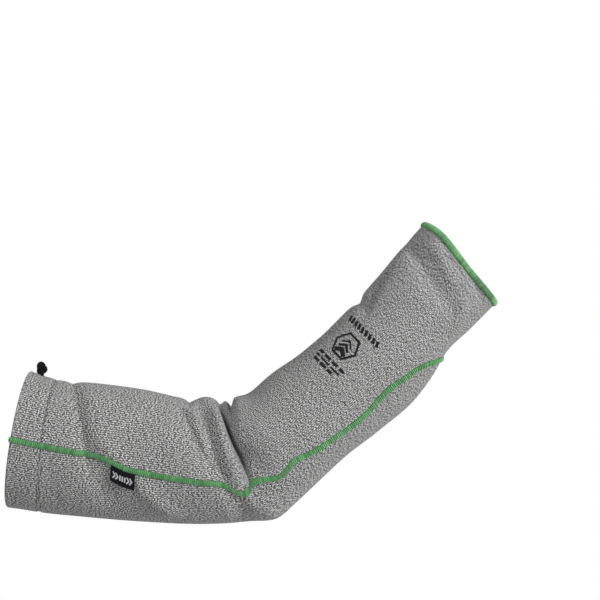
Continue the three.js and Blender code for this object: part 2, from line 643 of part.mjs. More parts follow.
const sleeve = new THREE.Group();
function add(name, geometry, material) {
  const mesh = new THREE.Mesh(geometry, material);
  mesh.name = name;
  sleeve.add(mesh);
}

add('main_panel', mainPanel(), knit);
add('elbow_gusset', elbowGusset(), gussetKnit);
add('hem_casing', hemCasing(), knit);
add('gusset_seam', gussetSeam(), greenThread);
add('wrist_binding', wristBinding(), greenThread);
add('side_label', sideLabel(), blackWeave);
add('drawcord', await drawcord(), blackWeave);

export default sleeve;
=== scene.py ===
"""Looks of the cut resistant sleeve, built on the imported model's frame.

The cloth's own tables and sizes are in millimetres, as in the part's source. Meshes are in metres.
Pieces are first made flat, with X along the sleeve, Y round it and Z out of the cloth, and are then
laid on the worn sleeve.
"""

from __future__ import annotations

import logging
import math
from dataclasses import dataclass
from enum import Enum
from typing import Callable

import bmesh
import bpy
import numpy as np
from mathutils import Matrix, Vector

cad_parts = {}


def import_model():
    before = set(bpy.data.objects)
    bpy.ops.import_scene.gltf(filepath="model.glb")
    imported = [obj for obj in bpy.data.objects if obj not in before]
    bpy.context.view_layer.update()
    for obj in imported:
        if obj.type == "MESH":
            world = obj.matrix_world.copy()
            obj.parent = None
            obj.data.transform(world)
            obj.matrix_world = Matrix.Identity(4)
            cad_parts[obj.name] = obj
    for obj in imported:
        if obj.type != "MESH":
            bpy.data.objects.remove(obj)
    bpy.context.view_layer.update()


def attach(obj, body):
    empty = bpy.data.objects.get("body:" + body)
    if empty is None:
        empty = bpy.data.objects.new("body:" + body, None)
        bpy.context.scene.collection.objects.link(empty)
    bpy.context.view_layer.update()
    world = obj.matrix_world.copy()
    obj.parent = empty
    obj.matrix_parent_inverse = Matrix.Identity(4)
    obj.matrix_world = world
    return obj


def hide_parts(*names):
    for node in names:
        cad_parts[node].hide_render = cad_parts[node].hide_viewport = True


Array = np.ndarray
Socket = bpy.types.NodeSocket
Value = float | Socket
Material = bpy.types.Material
Object = bpy.types.Object
Shape = bmesh.types.BMesh
Colour = tuple[float, float, float]

LOG = logging.getLogger("sleeve")
MM = 0.001
# Distance in metres within which points become one, and length under which an edge goes
ONE_POINT = 0.00002
NO_LENGTH = 0.00001
# Girth of the knit before it is worn, to which its stitches are spaced all along the sleeve
KNIT_GIRTH = 300.0
# Share of its pitch that one stitch of a row covers, so that no two stitches touch
PART_OF_PITCH = 0.999
# Station and angle of the print's middle
PRINT_AT = 1.51
PRINT_ANGLE = 120.0
# Dark and light colours of the green threads, by their place. The bed's colours are far darker than the
# threads': painted shade in the gaps between the wound threads, where the bed shows.
GREENS = {
    "seam": ((0.06, 0.26, 0.08), (0.17, 0.55, 0.18)),
    "edge": ((0.09, 0.32, 0.11), (0.22, 0.6, 0.22)),
    "shaded_bed": ((0.025, 0.09, 0.03), (0.05, 0.16, 0.055)),
}


@dataclass(frozen=True)
class Section:
    """A section of the worn sleeve.

    turn is the share of the elbow's bend that it leans by. over, under and depth are its reach
    above, below and to each side of the middle line, as shares of half the height or depth there.
    """

    at: float
    turn: float
    over: float
    under: float
    depth: float


@dataclass(frozen=True)
class Fold:
    """A fold of the cloth, a line from one station and angle to another.

    before and after are its half widths on its hem side and its wrist side, height is how far it
    stands out, or in when negative, and lean is how far it leans over towards the wrist, all in
    millimetres. edge is 2 for a soft fold and nearer 1 for a sharp one. Towards an end the fold dies
    away over a share of its length, unless that end lies on the middle of the top or the underside.
    """

    at: float
    angle: float
    to: float
    to_angle: float
    before: float
    after: float
    height: float
    edge: float = 2.0
    lean: float = 0.0

    def ends(self) -> list[tuple[float, float]]:
        """Station and angle of its two ends, the upper first."""
        return sorted(((self.at, self.angle), (self.to, self.to_angle)), key=lambda end: -end[1])


SECTIONS = (
    Section(0.0, -0.07, 1.0, 1.0, 1.0),
    Section(0.05, -0.05, 0.965, 1.01, 1.0),
    Section(0.12, -0.03, 0.925, 1.035, 1.0),
    Section(0.3, 0.0, 0.945, 1.06, 1.0),
    Section(0.5, 0.0, 0.94, 1.075, 1.0),
    Section(0.68, 0.04, 0.885, 1.07, 1.02),
    Section(0.84, 0.2, 0.89, 1.06, 1.03),
    Section(0.93, 0.35, 0.83, 1.11, 1.03),
    Section(1.0, 0.5, 0.8, 1.185, 1.02),
    Section(1.05, 0.61, 0.815, 1.1, 1.01),
    Section(1.1, 0.72, 0.85, 1.03, 1.0),
    Section(1.22, 0.9, 0.895, 0.965, 1.0),
    Section(1.38, 1.0, 0.805, 1.07, 1.0),
    Section(1.55, 1.0, 0.79, 1.15, 1.0),
    Section(1.66, 1.0, 0.815, 1.08, 1.0),
    Section(1.75, 1.0, 0.86, 0.97, 1.0),
    Section(1.87, 0.98, 0.94, 0.99, 1.0),
    Section(2.0, 0.96, 1.0, 1.0, 1.0),
)

# The main folds, along the lines of the solids' folds and deeper in places
MAIN_FOLDS = (
    Fold(0.2, 180, 0.195, 138, 4, 4, -1.5),
    Fold(0.205, 166, 0.312, 84, 5, 6.5, -8.0, 1.4),
    Fold(0.18, 158, 0.262, 105, 5, 5, 1.6),
    Fold(0.345, 78, 0.415, 52, 10, 12, -3.8),
    Fold(0.36, 100, 0.5, 76, 6, 7, 2.2),
    Fold(0.53, 68, 0.68, 36, 8, 8, 4.4),
    Fold(0.655, 158, 0.832, 77, 7, 5, -4.2, 1.5),
    Fold(0.735, 150, 0.828, 94, 6, 5, 2.2),
    Fold(0.7, 180, 0.71, 160, 4, 7, -4.2, 1.5),
    Fold(0.79, 180, 0.79, 172, 14, 14, 3.8),
    Fold(0.76, 165, 0.872, 66, 6, 8, -7.0, 1.4),
    Fold(0.84, 158, 0.908, 74, 6, 6, 3.5),
    Fold(0.866, 166, 0.95, 60, 3, 14, -12.5, 1.25, 3.0),
    Fold(0.87, 164, 0.945, 70, 2.5, 4.5, -11.0, 1.5),
    Fold(0.912, 180, 0.916, 166, 5, 5, 3.2),
    Fold(0.942, 180, 0.947, 152, 2.5, 4, -3.8, 1.5),
    Fold(0.99, 180, 0.995, 160, 8, 21, 5.6, 2.2),
    Fold(0.955, 96, 1.01, 74, 9, 12, -4.0),
    Fold(0.946, 57, 0.985, 28, 7, 8, 3.4),
    Fold(0.905, 56, 0.905, 16, 8, 6, -2.6),
    Fold(1.475, 168, 1.54, 164, 8, 8, -4.0),
    Fold(1.65, 180, 1.66, 150, 6, 6, -4.0, 1.7),
    Fold(1.645, 136, 1.81, 166, 8, 5, -5.5, 1.4),
    Fold(1.9, 166, 1.86, 68, 6, 9, -5.0, 1.5),
    Fold(1.955, 134, 1.925, 76, 5, 5, 2.4),
    Fold(1.92, 64, 1.82, 34, 6, 6, 2.4),
    Fold(1.995, 84, 1.96, 40, 5, 5, -2.4),
)

# Shallow creases, finer than the solids show
FINE_FOLDS = (
    Fold(0.15, 150, 0.16, 112, 3, 3, 0.5),
    Fold(0.165, 84, 0.2, 40, 5, 5, -0.6),
    Fold(0.42, 150, 0.5, 110, 8, 8, -0.7),
    Fold(0.6, 120, 0.69, 84, 5, 5, 0.7),
    Fold(0.79, 120, 0.83, 88, 2.5, 2.5, -0.8),
    Fold(0.86, 62, 0.87, 22, 4, 4, 0.7),
    Fold(1.06, 118, 1.1, 82, 5, 5, 0.8),
    Fold(1.24, 70, 1.5, 74, 7, 7, -0.7),
    Fold(1.76, 120, 1.84, 80, 6, 6, 0.7),
    Fold(1.82, 44, 1.7, 30, 5, 5, 0.6),
)

# Station and angle of the seam along the outer side, which the inner side mirrors
SEAM_LINE = (
    (0.0, 93.5), (0.2, 89.3), (0.39, 85.0), (0.48, 79.3), (0.54, 77.3), (0.76, 72.6),
    (0.842, 70.0), (0.874, 66.6), (0.902, 60.3), (0.924, 58.0), (0.966, 65.5), (1.0, 66.0),
    (1.056, 60.7), (1.116, 64.3), (1.214, 56.6), (1.372, 51.0), (1.524, 54.5), (1.6, 48.5),
)


def smoothstep(value: Array, low: float, high: float) -> Array:
    """Eases from 0 at low to 1 at high.

    Args:
        value: What is eased.
        low: Where it starts.
        high: Where it ends.

    Returns:
        The eased share.
    """
    share = np.clip((value - low) / (high - low), 0.0, 1.0)
    return share * share * (3 - 2 * share)


def distances(line: Array) -> Array:
    """Distance of each point of a line from its first, along it."""
    return np.concatenate([[0.0], np.cumsum(np.linalg.norm(np.diff(line, axis=0), axis=1))])


def scatter(number: Array, start: float = 0.0) -> Array:
    """A value from -0.5 to 0.5 for each whole number, without order but the same each time."""
    wave = np.sin(number * 12.9898 + start) * 43758.5453
    return wave - np.floor(wave) - 0.5


def smooth_column(places: Array, values: Array, at: Array) -> Array:
    """A smooth curve through the rows of a table.

    Args:
        places: Station of each row, in order.
        values: Value of each row.
        at: Stations that are asked for.

    Returns:
        The curve's value at each of them.
    """
    spans = np.diff(places)
    slopes = np.diff(values) / spans
    tangents = np.empty_like(values)
    tangents[0], tangents[-1] = slopes[0], slopes[-1]
    tangents[1:-1] = (slopes[:-1] * spans[1:] + slopes[1:] * spans[:-1]) / (spans[1:] + spans[:-1])
    row = np.clip(np.searchsorted(places, at, side="right") - 1, 0, len(places) - 2)
    t = (at - places[row]) / spans[row]
    t2, t3 = t * t, t * t * t
    start = (2 * t3 - 3 * t2 + 1) * values[row] + (t3 - 2 * t2 + t) * spans[row] * tangents[row]
    end = (3 * t2 - 2 * t3) * values[row + 1] + (t3 - t2) * spans[row] * tangents[row + 1]
    return start + end


@dataclass(frozen=True)
class WornSleeve:
    """The outer face of the worn cloth, as a function of station and angle.

    The station is 0 at the hem edge, 1 at the elbow and 2 at the wrist edge. The angle, in
    degrees, is 0 along the underside, 90 on the outer side, 180 on top and 270 on the inner side.
    """

    upper_arm_length: float = 227.0
    forearm_length: float = 270.0
    upper_arm_slope: float = -5.6
    elbow_bend: float = 50.0
    elbow_rounding: float = 0.25
    heights: tuple[float, float, float] = (131.0, 117.0, 101.6)
    depths: tuple[float, float, float] = (96.0, 92.0, 62.0)
    wrist_bow: float = 4.0
    wrist_bow_angle: float = 128.0
    wrist_bow_spread: float = 34.0
    wrist_bow_from: float = 1.8
    wall: float = 1.5
    gap: float = 0.3
    casing_width: float = 28.5
    slit_run: float = 11.5
    slit_angle: float = 183.0
    cord_diameter: float = 2.4
    stitch_depth: float = 1.0
    stitch_width: float = 1.7
    inner_side_share: float = 0.6
    inner_side_blend: float = 40.0
    fold_end_share: float = 0.25
    fold_end_angles: tuple[float, float] = (12.0, 168.0)
    lean_spread: float = 2.2
    seam_turns_at: float = 1.6
    gusset_ends_at: float = 1.72
    seam_end_power: float = 1.6
    row_slant: float = 0.09
    slant_grows: tuple[float, float] = (0.62, 0.84)
    slant_ends: tuple[float, float] = (0.98, 1.2)

    @property
    def hem_radius(self) -> float:
        """Radius of the folded hem edge's outer face."""
        return self.wall + self.gap / 2

    def length_at(self, at: Array) -> Array:
        """Distance of a station from the hem edge."""
        at = np.asarray(at, float)
        return np.where(
            at < 1, at * self.upper_arm_length, self.upper_arm_length + (at - 1) * self.forearm_length
        )

    def station_at(self, length: Array) -> Array:
        """Station at a distance from the hem edge.

        Args:
            length: The distance, in millimetres.

        Returns:
            The station.
        """
        length = np.asarray(length, float)
        past = 1 + (length - self.upper_arm_length) / self.forearm_length
        return np.where(length < self.upper_arm_length, length / self.upper_arm_length, past)

    def column(self, name: str, at: Array) -> Array:
        """One column of the sections' table, at each station.

        Args:
            name: The column.
            at: Stations.

        Returns:
            The column's value at each.
        """
        places = np.array([section.at for section in SECTIONS])
        values = np.array([getattr(section, name) for section in SECTIONS])
        return smooth_column(places, values, np.asarray(at, float))

    def middle(self, at: Array) -> Array:
        """The middle line in the sleeve's plane, with its elbow rounded.

        Args:
            at: Stations.

        Returns:
            Points, by their place onward and up.
        """
        upper = math.radians(self.upper_arm_slope)
        fore = math.radians(self.upper_arm_slope + self.elbow_bend)
        along = np.array([math.cos(upper), math.sin(upper)])
        onward = np.array([math.cos(fore), math.sin(fore)])
        elbow = along * self.upper_arm_length

        def straight(station: Array) -> Array:
            """The two straight segments.

            Args:
                station: Stations.

            Returns:
                Points on them.
            """
            station = np.asarray(station, float)[..., None]
            past = elbow + onward * self.forearm_length * (station - 1)
            return np.where(station <= 1, elbow * station, past)

        start, end = straight(1 - self.elbow_rounding), straight(1 + self.elbow_rounding)
        share = np.clip((at - 1 + self.elbow_rounding) / (2 * self.elbow_rounding), 0, 1)[..., None]
        bent = (1 - share) ** 2 * start + 2 * share * (1 - share) * elbow + share**2 * end
        return np.where((np.abs(at - 1) < self.elbow_rounding)[..., None], bent, straight(at))

    def reaches(self, at: Array) -> tuple[Array, Array, Array]:
        """Half reaches of a section.

        Args:
            at: Stations.

        Returns:
            The reach above, below and to each side.
        """
        height = np.interp(at, (0, 1, 2), self.heights) / 2
        depth = np.interp(at, (0, 1, 2), self.depths) / 2
        return (
            height * self.column("over", at),
            height * self.column("under", at),
            depth * self.column("depth", at),
        )

    def angle_of(self, width: Array, at: Array, angle: Array) -> Array:
        """Angle that covers a width of cloth.

        Args:
            width: Width round the sleeve.
            at: Station.
            angle: Angle there.

        Returns:
            The angle, in degrees.
        """
        over, under, side = self.reaches(at)
        turn = np.radians(angle)
        height = np.where(np.cos(turn) > 0, under, over)
        return np.degrees(width / np.hypot(height * np.sin(turn), side * np.cos(turn)))

    def folding(self, at: Array, angle: Array) -> tuple[Array, Array]:
        """What the folds do.

        Args:
            at: Stations.
            angle: Angles, from 0 to 360.

        Returns:
            How far the cloth moves out, and how far it moves along the sleeve.
        """
        radius = (self.heights[1] + self.depths[1]) / 4
        along = self.length_at(at)
        around = np.radians(np.minimum(angle, 360 - angle)) * radius
        out = np.zeros_like(along)
        push = np.zeros_like(along)
        for fold in MAIN_FOLDS + FINE_FOLDS:
            ends = fold.ends()
            (x0, y0), (x1, y1) = (
                (float(self.length_at(end[0])), math.radians(end[1]) * radius) for end in ends
            )
            length = math.hypot(x1 - x0, y1 - y0)
            short = self.fold_end_share * length
            dx, dy = (x1 - x0) / length, (y1 - y0) / length
            run = (along - x0) * dx + (around - y0) * dy
            across = (along - x0) * dy - (around - y0) * dx
            width = np.where(across > 0, fold.before, fold.after)
            low, high = self.fold_end_angles
            starts, stops = (not low <= end[1] <= high for end in ends)
            first = 0.0 if starts else short
            last = length if stops else length - short
            past = np.maximum(0, np.maximum(first - run, run - last))
            slow = math.sqrt(0.5) * short + max(fold.before, fold.after)
            fade = np.exp(-((past / slow) ** 2))
            out += fold.height * np.exp(-((np.abs(across) / width) ** fold.edge)) * fade
            if fold.lean:
                spread = self.lean_spread * fold.before
                push += fold.lean * np.exp(-(((across - fold.before) / spread) ** 2)) * fade
        inner = smoothstep(angle, 180, 180 + self.inner_side_blend)
        inner = inner * smoothstep(360 - angle, 0, self.inner_side_blend)
        share = 1 - (1 - self.inner_side_share) * inner
        stitch = (along - self.casing_width) / self.stitch_width
        return out * share - self.stitch_depth * np.exp(-stitch * stitch), push * share

    def point(self, at: Array, angle: Array, lift: Array = 0.0) -> Array:
        """Points of the cloth.

        Args:
            at: Stations.
            angle: Angles in degrees, of any turn.
            lift: Height over the outer face, or depth into it when negative.

        Returns:
            An array of points, in metres.
        """
        at, angle, lift = np.broadcast_arrays(
            np.asarray(at, float), np.mod(np.asarray(angle, float), 360), np.asarray(lift, float)
        )
        lean = np.radians(self.upper_arm_slope + self.elbow_bend * self.column("turn", at))
        over, under, side = self.reaches(at)
        cos, sin = np.cos(np.radians(angle)), np.sin(np.radians(angle))
        height = np.where(cos > 0, under, over)
        out, push = self.folding(at, angle)
        size = np.hypot(cos * side, sin * height)
        up = -cos * height - cos * side / size * (out + lift)
        across = -sin * side - sin * height / size * (out + lift)
        turned = np.minimum(angle, 360 - angle)
        near = np.exp(-(((turned - self.wrist_bow_angle) / self.wrist_bow_spread) ** 2))
        forward = push + self.wrist_bow * smoothstep(at, self.wrist_bow_from, 2) * near
        centre = self.middle(at)
        x = centre[..., 0] - np.sin(lean) * up + np.cos(lean) * forward
        z = centre[..., 1] + np.cos(lean) * up + np.sin(lean) * forward
        return np.stack([x, across, z], -1) * MM

    def girth(self, at: Array) -> Array:
        """Length round the unfolded sections.

        Args:
            at: Stations.

        Returns:
            The length at each, in millimetres.
        """
        turns = np.radians(np.linspace(0, 360, 181))[None, :]
        over, under, side = (reach[:, None] for reach in self.reaches(np.asarray(at, float)))
        height = np.where(np.cos(turns) > 0, under, over)
        ring = np.stack([-np.cos(turns) * height, -np.sin(turns) * side], -1)
        return np.linalg.norm(np.diff(ring, axis=1), axis=2).sum(1)

    def ring(self, at: float) -> tuple[Array, Array]:
        """Angles round a station, every half a degree, and the distance in millimetres to each."""
        turns = np.linspace(0, 360, 721)
        return turns, distances(self.point(np.full(len(turns), at), turns) / MM)

    def laid(self, run: Array, angle: Array, lift: Array = 0.0) -> Array:
        """Points of the cloth by flat length, where a negative length goes in round the hem edge.

        Args:
            run: Flat length from the hem edge, along the middle.
            angle: Angles in degrees.
            lift: Height over the outer face.

        Returns:
            An array of points, in metres.
        """
        radius = self.hem_radius
        turn = np.clip((radius - run) / radius, 0, math.pi)
        inside = np.maximum(0, radius - math.pi * radius - run)
        place = np.where(run > radius, run, radius - radius * np.sin(turn) + inside)
        sunk = radius * np.cos(turn) - radius
        return self.point(
            self.station_at(place - lift * np.sin(turn)), angle, sunk + lift * np.cos(turn)
        )

    def over_slit(self, run: float, lift: float) -> Array:
        """A point over the slit in millimetres, from a distance past its middle and a height."""
        place = self.laid(np.array([self.slit_run + run]), np.array([self.slit_angle]), np.array([lift]))
        return place[0] / MM

    def slanted(self, row: Array, angle: Array) -> Array:
        """Station of a row of the cloth at an angle: near the elbow rows slant along the creases.

        Args:
            row: Rows, by their station on top.
            angle: Angles.

        Returns:
            The stations.
        """
        turned = np.minimum(np.abs(angle), 360 - np.abs(angle))
        near = smoothstep(row, *self.slant_grows) * (1 - smoothstep(row, *self.slant_ends))
        return row + self.row_slant * near * (1 - turned / 180)

    def seam_angle(self, row: Array, offset: Array = 0.0) -> Array:
        """The seam's angle on a row of the cloth.

        Args:
            row: Rows, by their station on top.
            offset: How far towards the top, in millimetres.

        Returns:
            Angles on the outer side, 0 past the gusset's end.
        """
        places, angles = (np.array(values) for values in zip(*SEAM_LINE))
        row = np.asarray(row, float)
        angle = smooth_column(places, angles, np.minimum(row, self.seam_turns_at))
        for _ in range(6):
            near = np.minimum(self.slanted(row, angle), self.seam_turns_at)
            angle = smooth_column(places, angles, near)
        moved = angle + self.angle_of(offset, row, angle)
        reach = self.gusset_ends_at - self.seam_turns_at + offset / self.forearm_length
        past = np.clip((row - self.seam_turns_at) / reach, 0, 1)
        return moved * np.sqrt(1 - past**self.seam_end_power)


class Graph:
    """A material's nodes, written as sums."""

    def __init__(self, name: str) -> None:
        """Starts a material with its shader.

        Args:
            name: The material's name.
        """
        self.material = bpy.data.materials.new(name)
        self.material.use_nodes = True
        self.tree = self.material.node_tree
        self.shader = next(n for n in self.tree.nodes if n.type == "BSDF_PRINCIPLED")

    def set(self, target: Socket, value: Value | tuple[float, ...]) -> None:
        """Links or sets an input.

        Args:
            target: The input.
            value: What it gets.
        """
        if isinstance(value, Socket):
            self.tree.links.new(value, target)
        else:
            target.default_value = value

    def node(self, kind: str, inputs: dict[str | int, Value], **options: object) -> bpy.types.Node:
        """A new node.

        Args:
            kind: Its type.
            inputs: What its inputs get, by their name or place.
            **options: Its settings.

        Returns:
            The node.
        """
        made = self.tree.nodes.new(kind)
        for name, value in options.items():
            setattr(made, name, value)
        for key, value in inputs.items():
            self.set(made.inputs[key], value)
        return made

    def math(self, operation: str, a: Value, b: Value = 0.0, c: Value = 0.0) -> Socket:
        """One sum, of up to three values."""
        return self.node("ShaderNodeMath", {0: a, 1: b, 2: c}, operation=operation).outputs[0]

    def add(self, a: Value, b: Value) -> Socket:
        """a + b."""
        return self.math("ADD", a, b)

    def times(self, a: Value, b: Value) -> Socket:
        """a times b."""
        return self.math("MULTIPLY", a, b)

    def less(self, a: Value, b: Value) -> Socket:
        """a less b."""
        return self.math("SUBTRACT", a, b)

    def most(self, a: Value, b: Value) -> Socket:
        """The larger of a and b."""
        return self.math("MAXIMUM", a, b)

    def size(self, a: Value) -> Socket:
        """a without its sign."""
        return self.math("ABSOLUTE", a)

    def scaled(self, a: Value, by: Value, plus: Value) -> Socket:
        """a times one value, plus another."""
        return self.math("MULTIPLY_ADD", a, by, plus)

    def steps(self, a: Value, step: float = 1.0) -> Socket:
        """How many steps, of a size in millimetres, go into a length in metres."""
        return self.times(a, 1 / (step * MM))

    def floor(self, a: Value) -> Socket:
        """The whole part of a."""
        return self.math("FLOOR", a)

    def fract(self, a: Value) -> Socket:
        """The part of a after its point."""
        return self.math("FRACT", a)

    def bell(self, a: Value) -> Socket:
        """A round hump over each unit of a: 0 at its ends and 1 in its middle."""
        away = self.scaled(self.fract(a), 2.0, -1.0)
        return self.less(1.0, self.times(away, away))

    def uv(self) -> tuple[Socket, Socket]:
        """The piece's own flat coordinates, in metres: along, and around."""
        place = self.node("ShaderNodeUVMap", {}, uv_map="flat").outputs[0]
        return tuple(self.node("ShaderNodeSeparateXYZ", {0: place}).outputs)[:2]

    def solid_place(self) -> Socket:
        """Object coordinates."""
        return self.node("ShaderNodeTexCoord", {}).outputs["Object"]

    def pair(self, a: Value, b: Value, c: Value = 0.0) -> Socket:
        """A vector of two or three values."""
        return self.node("ShaderNodeCombineXYZ", {0: a, 1: b, 2: c}).outputs[0]

    def chance(self, a: Value, b: Value, c: Value = 0.0) -> Socket:
        """A value from 0 to 1 for two or three whole numbers, without order."""
        inputs = {"Vector": self.pair(a, b, c)}
        return self.node("ShaderNodeTexWhiteNoise", inputs, noise_dimensions="3D").outputs["Value"]

    def noise(self, place: Socket, scale: float, detail: float = 2.0) -> Socket:
        """Soft noise from 0 to 1, finer with a larger scale, with some finer layers as its detail."""
        inputs = {"Vector": place, "Scale": scale, "Detail": detail}
        return self.node("ShaderNodeTexNoise", inputs, noise_dimensions="3D").outputs[0]

    def ease(self, a: Value, low: float, high: float, start: float = 0.0, end: float = 1.0) -> Socket:
        """Maps low to high onto start to end, smoothly."""
        inputs = {0: a, 1: low, 2: high, 3: start, 4: end}
        return self.node("ShaderNodeMapRange", inputs, interpolation_type="SMOOTHSTEP").outputs[0]

    def ramp(self, a: Value, stops: tuple[tuple[float, Colour], ...]) -> Socket:
        """Colours by value, with a straight run between stops.

        Args:
            a: The value.
            stops: Values from 0 to 1 and their colours.

        Returns:
            The colour.
        """
        made = self.node("ShaderNodeValToRGB", {0: a})
        band = made.color_ramp.elements
        while len(band) < len(stops):
            band.new(0.5)
        for element, (place, colour) in zip(band, stops):
            element.position = place
            element.color = (*colour, 1.0)
        return made.outputs[0]

    def blend(self, share: Value, a: Value | Colour, b: Value | Colour) -> Socket:
        """Colour a, going over to colour b by a share."""
        ends = [(*colour, 1.0) if isinstance(colour, tuple) else colour for colour in (a, b)]
        return self.node("ShaderNodeMix", {0: share, 6: ends[0], 7: ends[1]}, data_type="RGBA").outputs[2]

    def shaded(self, colour: Socket, by: Value) -> Socket:
        """A colour times a grey value."""
        inputs = {0: 1.0, 6: colour, 7: self.pair(by, by, by)}
        return self.node("ShaderNodeMix", inputs, data_type="RGBA", blend_type="MULTIPLY").outputs[2]

    def relief(self, *layers: tuple[Socket, float]) -> None:
        """Bumps the surface.

        Args:
            *layers: A height and its depth in metres, for each layer.
        """
        under = {}
        for height, depth in layers:
            made = self.node("ShaderNodeBump", {"Height": height, "Distance": depth} | under)
            under = {"Normal": made.outputs[0]}
        self.set(self.shader.inputs["Normal"], under["Normal"])

    def finish(self, colour: Socket, roughness: float, sheen: float, gloss: float) -> Material:
        """Sets the shader.

        Args:
            colour: Base colour.
            roughness: Roughness.
            sheen: Weight of the cloth's sheen.
            gloss: Specular level.

        Returns:
            The material.
        """
        looks = {
            "Base Color": colour, "Roughness": roughness, "Sheen Weight": sheen, "Sheen Roughness": 0.5,
            "Specular IOR Level": gloss,
        }
        for name, value in looks.items():
            self.set(self.shader.inputs[name], value)
        return self.material


@dataclass(frozen=True)
class Mark:
    """A printed bar: its middle, half sizes in millimetres, and its turn in degrees."""

    x: float
    y: float
    half_x: float
    half_y: float
    turn: float = 0.0

    def cover(self, graph: Graph, x: Socket, y: Socket) -> Socket:
        """1 where the bar covers the cloth.

        Args:
            graph: The material's nodes.
            x: Place along the sleeve from the print's middle, in millimetres.
            y: Place round the sleeve from there.

        Returns:
            The cover.
        """
        cos, sin = math.cos(math.radians(self.turn)), math.sin(math.radians(self.turn))
        dx, dy = graph.add(x, -self.x), graph.add(y, -self.y)
        along = graph.add(graph.times(dx, cos), graph.times(dy, sin))
        across = graph.add(graph.times(dy, cos), graph.times(dx, -sin))
        near = [
            graph.less(graph.size(value), half)
            for value, half in ((along, self.half_x), (across, self.half_y))
        ]
        return graph.ease(graph.most(*near), -0.25, 0.25, 1.0, 0.0)


def covered(graph: Graph, marks: tuple[Mark, ...], x: Socket, y: Socket) -> Socket:
    """1 where any of the marks covers the cloth.

    Args:
        graph: The material's nodes.
        marks: The bars.
        x: Place along, in millimetres.
        y: Place across.

    Returns:
        The cover.
    """
    cover = marks[0].cover(graph, x, y)
    for mark in marks[1:]:
        cover = graph.most(cover, mark.cover(graph, x, y))
    return cover


@dataclass(frozen=True)
class Print:
    """The dark print past the elbow: a six-sided badge with chevrons, and rows of bars beside it."""

    along: float
    around: float
    stretch: float
    size: float = 11.3
    line: float = 2.3
    ink: Colour = (0.012, 0.012, 0.012)

    def cover(self, graph: Graph, along: Socket, around: Socket) -> Socket:
        """1 where the ink covers the cloth.

        Args:
            graph: The material's nodes.
            along: Flat place along the sleeve, in metres.
            around: Flat place round the sleeve.

        Returns:
            The cover.
        """
        x = graph.steps(graph.add(along, -self.along * MM))
        y = graph.times(graph.add(around, -self.around * MM), self.stretch / MM)
        reach = graph.size(x)
        for turn in (60, 120):
            cos, sin = math.cos(math.radians(turn)), math.sin(math.radians(turn))
            side = graph.size(graph.add(graph.times(x, cos), graph.times(y, sin)))
            reach = graph.most(reach, side)
        away = graph.size(graph.add(reach, -self.size))
        cover = graph.ease(away, self.line / 2 - 0.3, self.line / 2 + 0.3, 1.0, 0.0)
        chevrons = tuple(
            Mark(shift, side * 2.9, thick, 4.2, side * 38)
            for shift, thick in ((-6.4, 2.2), (-1.0, 1.3), (3.6, 0.9))
            for side in (-1, 1)
        )
        upper = tuple(Mark(21.5, place, 3.0, 1.65, 24) for place in range(-20, 22, 5))
        lower = tuple(
            Mark(shift, place, thick, half)
            for shift, thick, row in (
                (-19.0, 1.5, ((-15, 3.0), (-6, 3.6), (4, 4.2), (14, 3.2))),
                (-23.5, 1.0, ((-11, 5.6), (3, 6.0), (14, 2.8))),
                (-27.5, 1.5, ((-8, 3.2), (1, 3.8), (11, 4.0))),
            )
            for place, half in row
        )
        return graph.most(cover, covered(graph, chevrons + upper + lower, x, y))


